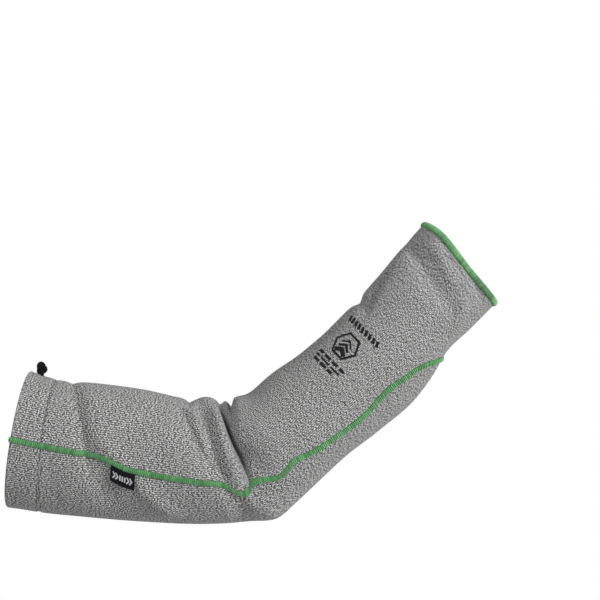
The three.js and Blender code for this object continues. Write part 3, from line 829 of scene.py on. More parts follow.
@dataclass(frozen=True)
class KnitFinish:
    """Salt and pepper grey knit with small stitches, with painted shade in the yarn's hollows and along the
    hem's stitch line; shade below 1 darkens a whole piece as painted shade.
    """

    name: str
    shade: float = 1.0
    hem_line: float = WornSleeve.casing_width
    line_shade: float = 0.74
    wale: float = KNIT_GIRTH / 165
    course: float = 1.2
    tones: tuple[tuple[float, Colour], ...] = (
        (0.0, (0.02, 0.02, 0.02)),
        (0.3, (0.09, 0.09, 0.09)),
        (0.5, (0.28, 0.279, 0.276)),
        (0.7, (0.5, 0.5, 0.496)),
        (1.0, (0.68, 0.68, 0.675)),
    )

    def made(self, printed: Print | None = None) -> Material:
        """Builds the knit's nodes.

        Args:
            printed: The print, where there is one.

        Returns:
            The material.
        """
        graph = Graph(self.name)
        along, around = graph.uv()
        across = graph.steps(around, self.wale)
        onward = graph.steps(along, self.course)
        tilt = graph.size(graph.less(graph.fract(across), 0.5))
        slanted = graph.add(onward, graph.times(tilt, 0.9))
        legs = graph.times(across, 2.0)
        leg = graph.floor(legs)
        rib = graph.bell(across)
        rib = graph.times(rib, rib)
        yarn = graph.scaled(graph.bell(legs), 0.35, graph.times(rib, 0.65))
        stitch = graph.bell(slanted)
        height = graph.times(yarn, graph.scaled(stitch, 0.4, 0.6))
        row = graph.floor(slanted)
        next_row, next_leg = graph.add(row, 1.0), graph.add(leg, 1.0)
        onto_next = graph.less(graph.chance(leg, row, 1.0), graph.chance(leg, next_row, 1.0))
        onto_side = graph.less(graph.chance(leg, row, 2.0), graph.chance(next_leg, row, 2.0))
        tone = graph.scaled(graph.add(onto_next, graph.times(onto_side, 0.5)), 0.45, 0.5)
        colour = graph.ramp(tone, self.tones)
        place = graph.solid_place()
        # shade scales the random cloudiness; below 1 it is painted shade over a whole piece.
        cloud_and_shade = graph.ease(graph.noise(place, 55.0, 3.0), 0.3, 0.7, 0.97 * self.shade, 1.03 * self.shade)
        fuzz = graph.noise(place, 2600.0, 1.0)
        # Painted shade in the hollows between the yarns and painted highlight on the raised yarn: the colour
        # is scaled by the stitch height.
        depth = graph.scaled(height, 1.5, 0.22)
        # Painted shade along the hem's stitch line, down to line_shade where the stitches draw their groove.
        from_line = graph.size(graph.add(graph.steps(along), -self.hem_line))
        groove = graph.ease(from_line, 0.4, 1.3, self.line_shade, 1.0)
        colour = graph.shaded(colour, graph.times(graph.times(cloud_and_shade, depth), groove))
        if printed:
            worn = graph.ease(graph.add(height, graph.times(fuzz, 0.6)), 0.15, 0.35, 0.8, 1.0)
            ink = graph.times(printed.cover(graph, along, around), worn)
            colour = graph.blend(ink, colour, printed.ink)
        graph.relief((height, 0.35 * MM), (fuzz, 0.12 * MM))
        return graph.finish(colour, 0.92, 0.12, 0.2)


@dataclass(frozen=True)
class ThreadFinish:
    """Wound green overlock thread."""

    name: str
    pitch: float
    dark: Colour
    light: Colour

    def made(self) -> Material:
        """The material."""
        graph = Graph(self.name)
        along, around = graph.uv()
        number = graph.floor(graph.steps(along, self.pitch))
        place = graph.solid_place()
        uneven = graph.noise(place, 900.0, 2.0)
        tone = graph.add(graph.times(graph.chance(number, 3.0), 0.8), graph.times(uneven, 0.3))
        colour = graph.blend(tone, self.dark, self.light)
        slant = graph.add(graph.times(along, 5200.0), graph.times(around, 2600.0))
        fibre = graph.bell(slant)
        # Painted shade between the thread's fibres: the colour follows the fibre ridges.
        colour = graph.shaded(colour, graph.scaled(fibre, 0.22, 0.84))
        graph.relief((fibre, 0.1 * MM), (uneven, 0.08 * MM))
        return graph.finish(colour, 0.62, 0.25, 0.35)


@dataclass(frozen=True)
class WeaveFinish:
    """Fine black woven label with a plain pale mark."""

    width: float
    drop: float
    name: str = "black_label_weave"
    warp: float = 0.24
    weft: float = 0.3
    black: Colour = (0.005, 0.005, 0.008)
    pale: Colour = (0.72, 0.72, 0.74)

    def made(self) -> Material:
        """The material."""
        graph = Graph(self.name)
        along, around = graph.uv()
        warp = graph.bell(graph.steps(along, self.warp))
        weft = graph.bell(graph.steps(around, self.weft))
        height = graph.most(graph.times(warp, 0.8), weft)
        x = graph.steps(along)
        y = graph.steps(around)
        marks = tuple(
            Mark(self.width * 0.5 + shift, -self.drop * 0.52 + side * 1.35, 0.6, 2.1, side * 34)
            for shift in (-8.0, -5.2, 5.2, 8.0)
            for side in (-1, 1)
        ) + tuple(Mark(self.width * 0.5 + shift, -self.drop * 0.52, 0.65, 2.5) for shift in (-2.3, 0.0, 2.3))
        cover = graph.times(covered(graph, marks, x, y), graph.scaled(warp, 0.4, 0.6))
        colour = graph.blend(cover, self.black, self.pale)
        # Painted shade in the weave's hollows and painted highlight on its raised threads, from the weave's
        # height.
        colour = graph.shaded(colour, graph.scaled(height, 0.4, 0.7))
        graph.relief((height, 0.08 * MM))
        return graph.finish(colour, 0.7, 0.02, 0.15)


@dataclass(frozen=True)
class CordFinish:
    """Black braided cord."""

    name: str = "black_braided_cord"
    strand: float = 1.1
    colour: Colour = (0.006, 0.006, 0.006)

    def made(self) -> Material:
        """The material."""
        graph = Graph(self.name)
        along, around = graph.uv()
        left = graph.steps(graph.add(along, around), self.strand)
        right = graph.steps(graph.add(along, graph.times(around, -1.0)), self.strand)
        square = graph.size(graph.add(graph.floor(left), graph.floor(right)))
        over = graph.math("MODULO", square, 2.0)
        under = graph.times(graph.bell(right), graph.less(1.0, over))
        height = graph.add(graph.times(graph.bell(left), over), under)
        fuzz = graph.noise(graph.solid_place(), 2400.0, 1.0)
        # The tone follows the braid's height: painted shade in its hollows and painted highlight on its
        # raised strands, with random fuzz.
        colour = graph.ramp(
            graph.add(graph.times(height, 0.6), graph.times(fuzz, 0.5)),
            ((0.0, (0.003, 0.003, 0.003)), (0.5, self.colour), (1.0, (0.014, 0.014, 0.015))),
        )
        graph.relief((height, 0.3 * MM), (fuzz, 0.1 * MM))
        return graph.finish(colour, 0.8, 0.02, 0.12)


class Slot(Enum):
    """Kinds of finish, by name."""

    KNIT = "melange_knit"
    THREAD = "green_thread"
    LABEL = "black_weave"
    CORD = "black_cord"


def lattice(across: int, along: int) -> Shape:
    """A flat grid over the unit square.

    Args:
        across: Cells in X.
        along: Cells in Y.

    Returns:
        The grid, from 0 to 1 each way.
    """
    grid = bmesh.new()
    bmesh.ops.create_grid(grid, x_segments=across, y_segments=along, size=0.5)
    bmesh.ops.translate(grid, vec=(0.5, 0.5, 0.0), verts=grid.verts)
    return grid


def repeated(template: Shape, count: int, step: float) -> Shape:
    """Copies of a shape in a row along X.

    Args:
        template: What is copied. It is freed.
        count: How many.
        step: Distance from one to the next.

    Returns:
        All the copies.
    """
    one = bpy.data.meshes.new("template")
    template.to_mesh(one)
    template.free()
    row = bmesh.new()
    for _ in range(count):
        row.from_mesh(one)
        one.transform(Matrix.Translation((step, 0.0, 0.0)))
    bpy.data.meshes.remove(one)
    return row


def places(shape: Shape) -> Array:
    """Every vertex's place, as an array."""
    return np.array([vertex.co for vertex in shape.verts], float)


@dataclass(frozen=True)
class StitchRow:
    """Flat stitches side by side.

    pitch is the width that each takes. number is each vertex's stitch, and along and across are its
    place in that stitch, from 0 to 1, in the row's direction and across it.
    """

    shape: Shape
    pitch: float
    number: Array
    along: Array
    across: Array

    @property
    def middle(self) -> Array:
        """Distance of each vertex's stitch from the row's start."""
        return (self.number + 0.5) * self.pitch


def stitch_row(length: float, pitch: float, cells: tuple[int, int]) -> StitchRow:
    """Stitches that fill a length.

    Args:
        length: The row's length.
        pitch: Width of a stitch, which is changed a little so that a whole number fits.
        cells: Cells of each stitch's grid, along the row and across it.

    Returns:
        The row.
    """
    count = round(length / pitch)
    pitch = length / count
    stitch = lattice(*cells)
    bmesh.ops.scale(stitch, vec=(pitch * PART_OF_PITCH, 1.0, 1.0), verts=stitch.verts)
    shape = repeated(stitch, count, pitch)
    where = places(shape)
    # The millionth keeps rounding from moving a stitch's first points to the stitch before
    number = np.floor(where[:, 0] / pitch + 1e-6)
    along = (where[:, 0] / pitch - number) / PART_OF_PITCH
    return StitchRow(shape, pitch, number, along, where[:, 1])


def placed(name: str, data: bpy.types.ID | None) -> Object:
    """A new object in the scene.

    Args:
        name: Its name.
        data: Its mesh, camera or lamp.

    Returns:
        The object, at the origin.
    """
    made = bpy.data.objects.new(name, data)
    bpy.context.scene.collection.objects.link(made)
    return made


def meshed(name: str, shape: Shape, material: Material) -> Object:
    """A new object with a shape for its mesh.

    Args:
        name: Its name.
        shape: The shape. It is freed.
        material: Its material.

    Returns:
        The object, at the origin.
    """
    mesh = bpy.data.meshes.new(name)
    shape.to_mesh(mesh)
    shape.free()
    mesh.materials.append(material)
    return placed(name, mesh)


def tapered(radius: float, share: Array, power: int) -> Array:
    """A thread's radius along it: whole in its middle and nothing at its ends, at -1 and 1."""
    return radius * np.sqrt(np.clip(1 - share**power, 0, 1))


def finished(
    name: str, shape: Shape, points: Array, flat: Array, slot: Slot,
    material: Material, replaces: tuple[str, ...] = (),
) -> Object:
    """A piece of the sleeve from a flat shape that is laid on it.

    Args:
        name: The piece's name.
        shape: The flat shape. It is freed.
        points: Where its vertices go, in metres.
        flat: Flat coordinates of its vertices, for its material, in metres.
        slot: Not used.
        material: Its material.
        replaces: CAD nodes that it stands for.

    Returns:
        The piece, riding on the sleeve.
    """
    layer = shape.loops.layers.uv.new("flat")
    for vertex, point in zip(shape.verts, points):
        vertex.co = point
    shape.verts.index_update()
    for face in shape.faces:
        face.smooth = True
        for loop in face.loops:
            loop[layer].uv = flat[loop.vert.index]
    bmesh.ops.remove_doubles(shape, verts=shape.verts, dist=ONE_POINT)
    bmesh.ops.dissolve_degenerate(shape, edges=shape.edges, dist=NO_LENGTH)
    piece = meshed(name, shape, material)
    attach(piece, "root")
    if replaces:
        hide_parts(*replaces)
    LOG.info("%s: %d faces", name, len(piece.data.polygons))
    return piece


def walled(sheet: Object, thickness: float) -> Object:
    """Gives a sheet its thickness, inwards.

    Args:
        sheet: The sheet.
        thickness: Its thickness, in millimetres.

    Returns:
        The same sheet.
    """
    wall = sheet.modifiers.new("wall", "SOLIDIFY")
    wall.thickness = thickness * MM
    wall.offset = -1.0
    return sheet


@dataclass(frozen=True)
class Panels:
    """The two knitted panels and the hem's folded-in layer."""

    sleeve: WornSleeve
    front_columns: int = 84
    back_columns: int = 52
    gusset_columns: int = 70
    slit_half_length: float = 4.5
    slit_half_width: float = 1.9
    crease_rows: tuple[float, float] = (0.835, 1.05)
    bands: tuple[tuple[float, int], ...] = ((0.11, 12), (0.15, 9), (0.62, 48), (1.1, 112))

    def rows(self, to_wrist: bool) -> Array:
        """Stations of the rows of faces, closer at the elbow and at the gusset's end.

        Args:
            to_wrist: Whether they go on to the wrist edge.

        Returns:
            The rows, past the folded hem edge.
        """
        sleeve = self.sleeve
        first = float(sleeve.station_at(sleeve.hem_radius))
        turn = np.sin(np.linspace(0, np.pi / 2, 25)[1:]) ** (2 / sleeve.seam_end_power)
        runs = []
        for last, count in self.bands:
            runs.append(np.linspace(first, last, count)[:-1])
            first = last
        runs.append(np.linspace(first, sleeve.seam_turns_at, 64))
        runs.append(sleeve.seam_turns_at + (sleeve.gusset_ends_at - sleeve.seam_turns_at) * turn)
        if to_wrist:
            runs.append(np.linspace(sleeve.gusset_ends_at, 2.0, 40)[1:])
        return np.concatenate(runs)

    def spread(
        self, rows: Array, angles: Callable[[Array, Array], Array], columns: int
    ) -> tuple[Shape, Array, Array]:
        """Lays a grid of cloth on the sleeve.

        Args:
            rows: Stations of the rows.
            angles: The angle of a row at a share of the panel's width.
            columns: Number of columns.

        Returns:
            The flat grid, its points, and its flat coordinates.
        """
        sleeve = self.sleeve
        edge = np.linspace(sleeve.hem_radius * (1 - math.pi), sleeve.hem_radius, 8)[:-1]
        grid = lattice(len(edge) + len(rows) - 1, columns)
        where = places(grid)
        row = np.rint(where[:, 0] * (len(edge) + len(rows) - 1)).astype(int)
        column = np.rint(where[:, 1] * columns).astype(int)
        station = np.concatenate([np.zeros(len(edge)), rows])
        angle = angles(station[row], column / columns)
        slanted = sleeve.slanted(station[row], angle)
        run = np.where(row < len(edge), edge[np.minimum(row, len(edge) - 1)], sleeve.length_at(slanted))
        points = sleeve.laid(run, angle)
        table = np.zeros((len(station), columns + 1, 3))
        table[row, column] = points
        turned = np.zeros((len(station), columns + 1))
        turned[row, column] = angle
        steps = np.linalg.norm(np.diff(table, axis=1), axis=2)
        around = np.concatenate([np.zeros((len(station), 1)), np.cumsum(steps, axis=1)], axis=1)
        middle = 180.0 if turned.max() > 180 else 0.0
        for index in range(len(station)):
            around[index] -= np.interp(middle, turned[index], around[index])
        around *= (KNIT_GIRTH / sleeve.girth(station))[:, None]
        out = sleeve.folding(slanted, angle)[0]
        along = self.along_crease(station, row, column, run, out)
        return grid, points, np.stack([along * MM, around[row, column]], -1)

    def along_crease(self, station: Array, row: Array, column: Array, run: Array, out: Array) -> Array:
        """Flat length that counts the depth of the elbow's crease, so that stitches keep their size there.

        Args:
            station: Station of each row.
            row: Row of each vertex.
            column: Column of each vertex.
            run: Flat length of each vertex without the crease.
            out: How far the folds move each vertex.

        Returns:
            The flat length of each vertex, which jumps only along the crease's bottom.
        """
        runs, outs = np.zeros((2, row.max() + 1, column.max() + 1))
        runs[row, column] = run
        outs[row, column] = out
        first, last = np.searchsorted(station, self.crease_rows)
        steps = np.diff(runs, axis=0)
        taken = np.hypot(steps, np.diff(outs, axis=0)) - np.abs(steps)
        gone = np.concatenate([np.zeros((1, taken.shape[1])), np.cumsum(taken, axis=0)])
        bottom = first + np.argmin(outs[first:last], axis=0)
        down = np.maximum(gone - gone[first], 0)
        up = np.minimum(gone - gone[last], 0)
        extra = np.where(np.arange(len(gone))[:, None] <= bottom, down, up)
        return run + extra[row, column]

    def main_angle(self, row: Array, share: Array) -> Array:
        """Angle of the main panel at a share of its width, from the outer seam over the top.

        Args:
            row: Rows, by their station on top.
            share: Shares of the width.

        Returns:
            The angles.
        """
        edge = self.sleeve.seam_angle(row, self.sleeve.gap / 2)
        front = self.front_columns / (self.front_columns + self.back_columns)
        outer = edge + (180 - edge) * share / front
        inner = 180 + (180 - edge) * (share - front) / (1 - front)
        return np.where(share <= front, outer, inner)

    def gusset_angle(self, row: Array, share: Array) -> Array:
        """Angle of the gusset at a share of its width, from the inner seam to the outer."""
        return self.sleeve.seam_angle(row, -self.sleeve.gap / 2) * (2 * share - 1)

    def main_panel(self, material: Material) -> Object:
        """The upper panel, with the cord's slit.

        Args:
            material: The knit.

        Returns:
            The panel.
        """
        columns = self.front_columns + self.back_columns
        grid, points, flat = self.spread(self.rows(True), self.main_angle, columns)
        slit = self.sleeve.over_slit(0.0, 0.0)
        reach = (points / MM - slit) / (self.slit_half_length, self.slit_half_width, 12.0)
        inside = np.linalg.norm(reach, axis=1) < 1.0
        grid.verts.index_update()
        hole = [face for face in grid.faces if sum(inside[v.index] for v in face.verts) > 2]
        bmesh.ops.delete(grid, geom=hole, context="FACES_ONLY")
        panel = finished("main_panel_knit", grid, points, flat, Slot.KNIT, material, ("main_panel",))
        return walled(panel, self.sleeve.wall)

    def gusset(self, material: Material) -> Object:
        """The lower panel, with its rounded end past the elbow.

        Args:
            material: The knit.

        Returns:
            The panel.
        """
        cloth = self.spread(self.rows(False), self.gusset_angle, self.gusset_columns)
        panel = finished("elbow_gusset_knit", *cloth, Slot.KNIT, material, ("elbow_gusset",))
        return walled(panel, self.sleeve.wall)

    def casing(self, material: Material) -> Object:
        """The folded-in layer, which bulges inwards over the drawcord.

        Args:
            material: The knit.

        Returns:
            The layer.
        """
        sleeve = self.sleeve
        grid = lattice(40, 240)
        where = places(grid)
        run = sleeve.hem_radius + where[:, 0] * (sleeve.casing_width + 2 - sleeve.hem_radius)
        angle = -where[:, 1] * 360
        away = np.abs(run - sleeve.slit_run)
        bulge = 1 - smoothstep(away, self.slit_half_length, self.slit_half_length + 4)
        bulge = bulge * (sleeve.cord_diameter + 0.6)
        ripple = 0.25 * np.sin(np.radians(angle) * 23 + 1.5 * np.sin(np.radians(angle) * 5))
        ripple = ripple * smoothstep(where[:, 0], 0.6, 1.0)
        points = sleeve.point(sleeve.station_at(run), angle, -2 * sleeve.hem_radius - bulge + ripple)
        flat = np.stack([run, where[:, 1] * KNIT_GIRTH], -1) * MM
        layer = finished("hem_casing_knit", grid, points, flat, Slot.KNIT, material, ("hem_casing",))
        return walled(layer, sleeve.wall)


@dataclass(frozen=True)
class Strand:
    """A wound thread that crosses a seam: its radius, and the cells round it and along it."""

    radius: float
    cells: tuple[int, int]


@dataclass(frozen=True)
class GreenSeams:
    """The green overlock seam between the panels, and the binding over the wrist edge."""

    sleeve: WornSleeve
    width: float = 6.0
    height: float = 1.35
    pitch: float = 1.8
    tuck: float = 7.0
    seam_thread: Strand = Strand(0.7, (7, 8))
    edge_thread: Strand = Strand(0.66, (7, 14))
    edge_middle: float = -1.5
    edge_half_run: float = 2.9
    edge_half_lift: float = 2.15
    edge_pitch_share: float = 0.9
    bed_wall: float = 0.4
    edge_swing: float = 158.0

    def seam_table(self) -> tuple[Array, Array, Array]:
        """The seam's course, up one side, round the gusset's end and down the other.

        Returns:
            The distance along it, and the flat length and angle of its lower edge, middle and upper
            edge there.
        """
        sleeve = self.sleeve
        half = self.width / 2
        offsets = np.array([-half, 0.0, half])
        inside = np.linspace(-self.tuck, sleeve.hem_radius, 18)
        rows = np.linspace(float(sleeve.station_at(sleeve.hem_radius)), sleeve.seam_turns_at, 500)[1:]
        lift = np.concatenate([np.zeros(len(inside)), rows])[:, None]
        base = sleeve.seam_angle(lift)
        side_angle = base + sleeve.angle_of(offsets, lift, base)
        side_run = sleeve.length_at(sleeve.slanted(lift, side_angle))
        side_run[: len(inside)] = inside[:, None]
        turn = np.linspace(0, np.pi / 2, 90)[1:, None]
        turned = sleeve.seam_angle(np.array(sleeve.seam_turns_at))
        reach = sleeve.gusset_ends_at - sleeve.seam_turns_at + offsets / sleeve.forearm_length
        end_at = sleeve.seam_turns_at + reach * np.sin(turn) ** (2 / sleeve.seam_end_power)
        end_angle = np.cos(turn) * (turned + sleeve.angle_of(offsets, sleeve.seam_turns_at, turned))
        run = np.concatenate([side_run, sleeve.length_at(end_at)])
        angle = np.concatenate([side_angle, end_angle])
        run = np.concatenate([run, run[-2::-1]])
        angle = np.concatenate([angle, -angle[-2::-1]])
        return distances(sleeve.laid(run[:, 1], angle[:, 1], 0.5) / MM), run, angle

    def on_seam(self, table: tuple[Array, Array, Array], along: Array, across: Array, lift: Array) -> Array:
        """Points on the seam.

        Args:
            table: The seam's course.
            along: Distance along it.
            across: Distance from its middle, towards the main panel.
            lift: Height over the cloth.

        Returns:
            An array of points, in metres.
        """
        distance, run, angle = table
        share = across / (self.width / 2)
        low, high = np.clip(-share, 0, None), np.clip(share, 0, None)
        spots = []
        for column in (run, angle):
            lower, middle, upper = (np.interp(along, distance, column[:, i]) for i in range(3))
            spots.append(middle + low * (lower - middle) + high * (upper - middle))
        return self.sleeve.laid(spots[0], spots[1], lift)

    def gusset_seam(self, material: Material) -> Object:
        """The seam's threads, one wound across it at every stitch.

        Args:
            material: The thread.

        Returns:
            The threads.
        """
        table = self.seam_table()
        length = float(table[0][-1])
        threads = stitch_row(length, self.pitch, self.seam_thread.cells)
        turn = threads.along * 2 * np.pi
        share = threads.across * 2 - 1
        radius = tapered(self.seam_thread.radius, share, 6)
        uneven = scatter(threads.number)
        slant = 0.55 * share + 0.22 * uneven
        along = threads.middle + slant + radius * np.cos(turn)
        reach = self.width / 2 * (1 + 0.1 * uneven)
        crown = self.height * (1 - share**2) ** 0.75
        across = share * reach
        lift = crown - 0.15 + radius * np.sin(turn) * 0.8
        points = self.on_seam(table, np.clip(along, 0, length), across, lift)
        flat = np.stack([threads.middle + slant * 0.1, across + turn * 0.2], -1) * MM
        name = "gusset_seam_threads"
        return finished(name, threads.shape, points, flat, Slot.THREAD, material, ("gusset_seam",))

    def seam_bed(self, material: Material) -> Object:
        """The bed of thread under the seam's crossing threads.

        Args:
            material: The thread.

        Returns:
            The bed.
        """
        table = self.seam_table()
        length = float(table[0][-1])
        grid = lattice(620, 10)
        where = places(grid)
        share = where[:, 1] * 2 - 1
        across = share * self.width / 2
        lift = (self.height - 0.35) * np.clip(1 - share**2, 0, 1) ** 0.6 - 0.1
        points = self.on_seam(table, where[:, 0] * length, across, lift)
        flat = np.stack([where[:, 0] * length * MM, across * MM], -1)
        return walled(finished("gusset_seam_bed", grid, points, flat, Slot.THREAD, material), self.bed_wall)

    def wrist_binding(self, material: Material) -> Object:
        """The binding: threads wound over the wrist edge, side by side.

        Args:
            material: The thread.

        Returns:
            The threads.
        """
        sleeve = self.sleeve
        turns, gone = sleeve.ring(2.0)
        length = float(gone[-1])
        threads = stitch_row(length, self.pitch * self.edge_pitch_share, self.edge_thread.cells)
        turn = threads.along * 2 * np.pi
        share = threads.across * 2 - 1
        swing = np.radians(self.edge_swing) * share
        radius = tapered(self.edge_thread.radius, share, 8)
        slant = 0.5 * share + 0.15 * scatter(threads.number, 4)
        along = threads.middle + slant + radius * np.cos(turn)
        angle = np.interp(np.mod(along, length), gone, turns)
        out = radius * np.sin(turn) * 0.85
        run = self.edge_middle + (self.edge_half_run + out) * np.cos(swing)
        lift = -sleeve.wall / 2 + (self.edge_half_lift + out) * np.sin(swing)
        points = sleeve.point(2 + run / sleeve.forearm_length, angle, lift)
        flat = np.stack([threads.middle, share * 9 + turn * 0.2], -1) * MM
        name = "wrist_binding_threads"
        return finished(name, threads.shape, points, flat, Slot.THREAD, material, ("wrist_binding",))

    def binding_bed(self, material: Material) -> Object:
        """The closed roll under the binding's threads.

        Args:
            material: The thread.

        Returns:
            The roll.
        """
        sleeve = self.sleeve
        grid = lattice(16, 260)
        where = places(grid)
        swing = where[:, 0] * 2 * np.pi
        run = self.edge_middle - self.edge_half_run * np.cos(swing)
        lift = -sleeve.wall / 2 + self.edge_half_lift * np.sin(swing)
        points = sleeve.point(2 + run / sleeve.forearm_length, where[:, 1] * 360, lift)
        flat = np.stack([where[:, 1] * 0.26, where[:, 0] * 0.016], -1)
        return finished("wrist_binding_bed", grid, points, flat, Slot.THREAD, material)


@dataclass(frozen=True)
class SideLabel:
    """The small folded label that hangs from the seam."""

    sleeve: WornSleeve
    width: float = 23.0
    drop: float = 15.0
    thickness: float = 0.35
    from_hem: float = 95.0
    seam_half: float = 2.4
    fold_radius: float = 0.45

    def made(self, material: Material) -> Object:
        """The label: down from the seam, round its lower edge and up again behind.

        Args:
            material: The weave.

        Returns:
            The label.
        """
        sleeve = self.sleeve
        grid = lattice(46, 84)
        where = places(grid)
        run = self.from_hem + where[:, 0] * self.width
        strip = where[:, 1] * (2 * self.drop + math.pi * self.fold_radius)
        turn = np.clip((strip - self.drop) / self.fold_radius, 0, math.pi)
        behind = np.maximum(0, strip - self.drop - math.pi * self.fold_radius)
        down = np.minimum(strip, self.drop) + self.fold_radius * np.sin(turn) - behind
        away = 0.55 + self.fold_radius * (1 + np.cos(turn))
        share = down / self.drop
        away = away + 1.2 * share**1.6 * (0.4 + 0.6 * where[:, 0]) + 0.25 * np.sin(where[:, 0] * 5.0) * share
        at = sleeve.station_at(run)
        top = sleeve.seam_angle(at, -self.seam_half)
        angle = top - sleeve.angle_of(down, at, top)
        points = sleeve.point(at, angle, away)
        flat = np.stack([where[:, 0] * self.width * MM, -strip * MM], -1)
        bmesh.ops.reverse_faces(grid, faces=grid.faces)
        label = finished("side_label_weave", grid, points, flat, Slot.LABEL, material, ("side_label",))
        return walled(label, self.thickness)


@dataclass(frozen=True)
class Drawcord:
    """The cord in the hem's tunnel, and its knot over the slit."""

    sleeve: WornSleeve
    feet: float = 3.0
    foot_lift: float = 1.6
    knot_width: float = 10.6
    knot_height: float = 12.8
    knot_radius: float = 2.7
    knot_turn: float = 200.0
    knot_sunk: float = 2.1
    end_steps: int = 3

    def tube(self, path: Array, radius: float, sides: int) -> tuple[Shape, Array, Array]:
        """A tube along a path, with round ends.

        Args:
            path: Points, in millimetres.
            radius: The tube's radius.
            sides: Sides of its section.

        Returns:
            The flat grid, its points in metres, and its flat coordinates.
        """
        count = len(path) - 1
        grid = lattice(count, sides)
        where = places(grid)
        index = np.rint(where[:, 0] * count).astype(int)
        onward = np.gradient(path, axis=0)
        onward /= np.linalg.norm(onward, axis=1, keepdims=True)
        side = np.zeros_like(path)
        last = np.cross(onward[0], (0.0, 1.0, 0.0))
        for step, ahead in enumerate(onward):
            last = last - ahead * last.dot(ahead)
            last = last / np.linalg.norm(last)
            side[step] = last
        other = np.cross(onward, side)
        share = np.linspace(0, 1, len(path))
        ends = np.minimum(share, 1 - share) * count
        size = radius * np.sqrt(np.clip(1 - (1 - np.clip(ends / self.end_steps, 0, 1)) ** 2, 0, 1))
        turn = where[:, 1] * 2 * np.pi
        points = path[index] + size[index, None] * (
            np.cos(turn)[:, None] * side[index] + np.sin(turn)[:, None] * other[index]
        )
        flat = np.stack([distances(path)[index], where[:, 1] * 2 * math.pi * radius], -1)
        return grid, points * MM, flat * MM

    def tunnel_path(self) -> Array:
        """The cord from one foot of the knot, down the slit, round the hem and up again.

        Returns:
            Points, in millimetres.
        """
        sleeve = self.sleeve
        depth = sleeve.wall + 0.6 + sleeve.cord_diameter / 2
        share = np.linspace(0, 1, 241)
        away = np.minimum(share, 1 - share) * 360
        rise = 1 - smoothstep(away, 1.0, 16.0)
        lift = -depth + rise * (depth + self.foot_lift)
        way = np.where(share < 0.5, -1.0, 1.0)
        run = sleeve.slit_run + way * self.feet * (1 - smoothstep(away, 0.0, 24.0))
        return sleeve.point(sleeve.station_at(run), sleeve.slit_angle + share * 360, lift) / MM

    def in_tunnel(self, material: Material) -> Object:
        """The cord that runs round the hem."""
        cord = self.tube(self.tunnel_path(), self.sleeve.cord_diameter / 2, 8)
        return finished("drawcord_loop", *cord, Slot.CORD, material, ("drawcord",))

    def knot_path(self) -> Array:
        """The knot: the cord's two ends tied once round each other.

        Returns:
            Points, in millimetres.
        """
        t = np.linspace(0.0, 2 * np.pi, 221)[6:-6]
        half_width = self.knot_width / 2 - self.knot_radius
        half_height = self.knot_height / 2 - self.knot_radius
        flat = np.stack([np.sin(t) + 2 * np.sin(2 * t), np.cos(t) - 2 * np.cos(2 * t)], -1) / 3
        turn = math.radians(self.knot_turn)
        x = flat[:, 0] * math.cos(turn) - flat[:, 1] * math.sin(turn)
        z = flat[:, 0] * math.sin(turn) + flat[:, 1] * math.cos(turn)
        y = np.sin(3 * t) * 1.5
        centre = self.sleeve.over_slit(0.0, self.foot_lift + self.knot_height / 2 - self.knot_sunk)
        return centre + np.stack([x * half_width * 1.12, y, z * half_height * 1.12], -1)

    def knot(self, material: Material) -> Object:
        """The knot's tied turns."""
        cord = self.tube(self.knot_path(), self.knot_radius, 16)
        return finished("drawcord_knot", *cord, Slot.CORD, material)


@dataclass(frozen=True)
class HemStitches:
    """The row of small stitches that holds the folded hem."""

    sleeve: WornSleeve
    pitch: float = 3.0
    length: float = 2.2
    radius: float = 0.24

    def made(self, material: Material) -> Object:
        """The stitches, in the groove that they draw in.

        Args:
            material: The yarn.

        Returns:
            The stitches.
        """
        sleeve = self.sleeve
        turns, gone = sleeve.ring(float(sleeve.station_at(sleeve.casing_width)))
        length = float(gone[-1])
        stitches = stitch_row(length, self.pitch, (8, 5))
        share = stitches.along * 2 - 1
        turn = stitches.across * 2 * np.pi
        radius = tapered(self.radius, share, 4)
        along = stitches.middle + share * self.length / 2
        angle = np.interp(np.mod(along, length), gone, turns)
        run = sleeve.casing_width + radius * np.cos(turn)
        lift = 0.12 - 0.35 * share**4 + radius * np.sin(turn)
        points = sleeve.point(sleeve.station_at(run), angle, lift)
        flat = np.stack([run * MM, along * MM], -1)
        bmesh.ops.reverse_faces(stitches.shape, faces=stitches.shape.faces)
        return finished("hem_stitches", stitches.shape, points, flat, Slot.KNIT, material)


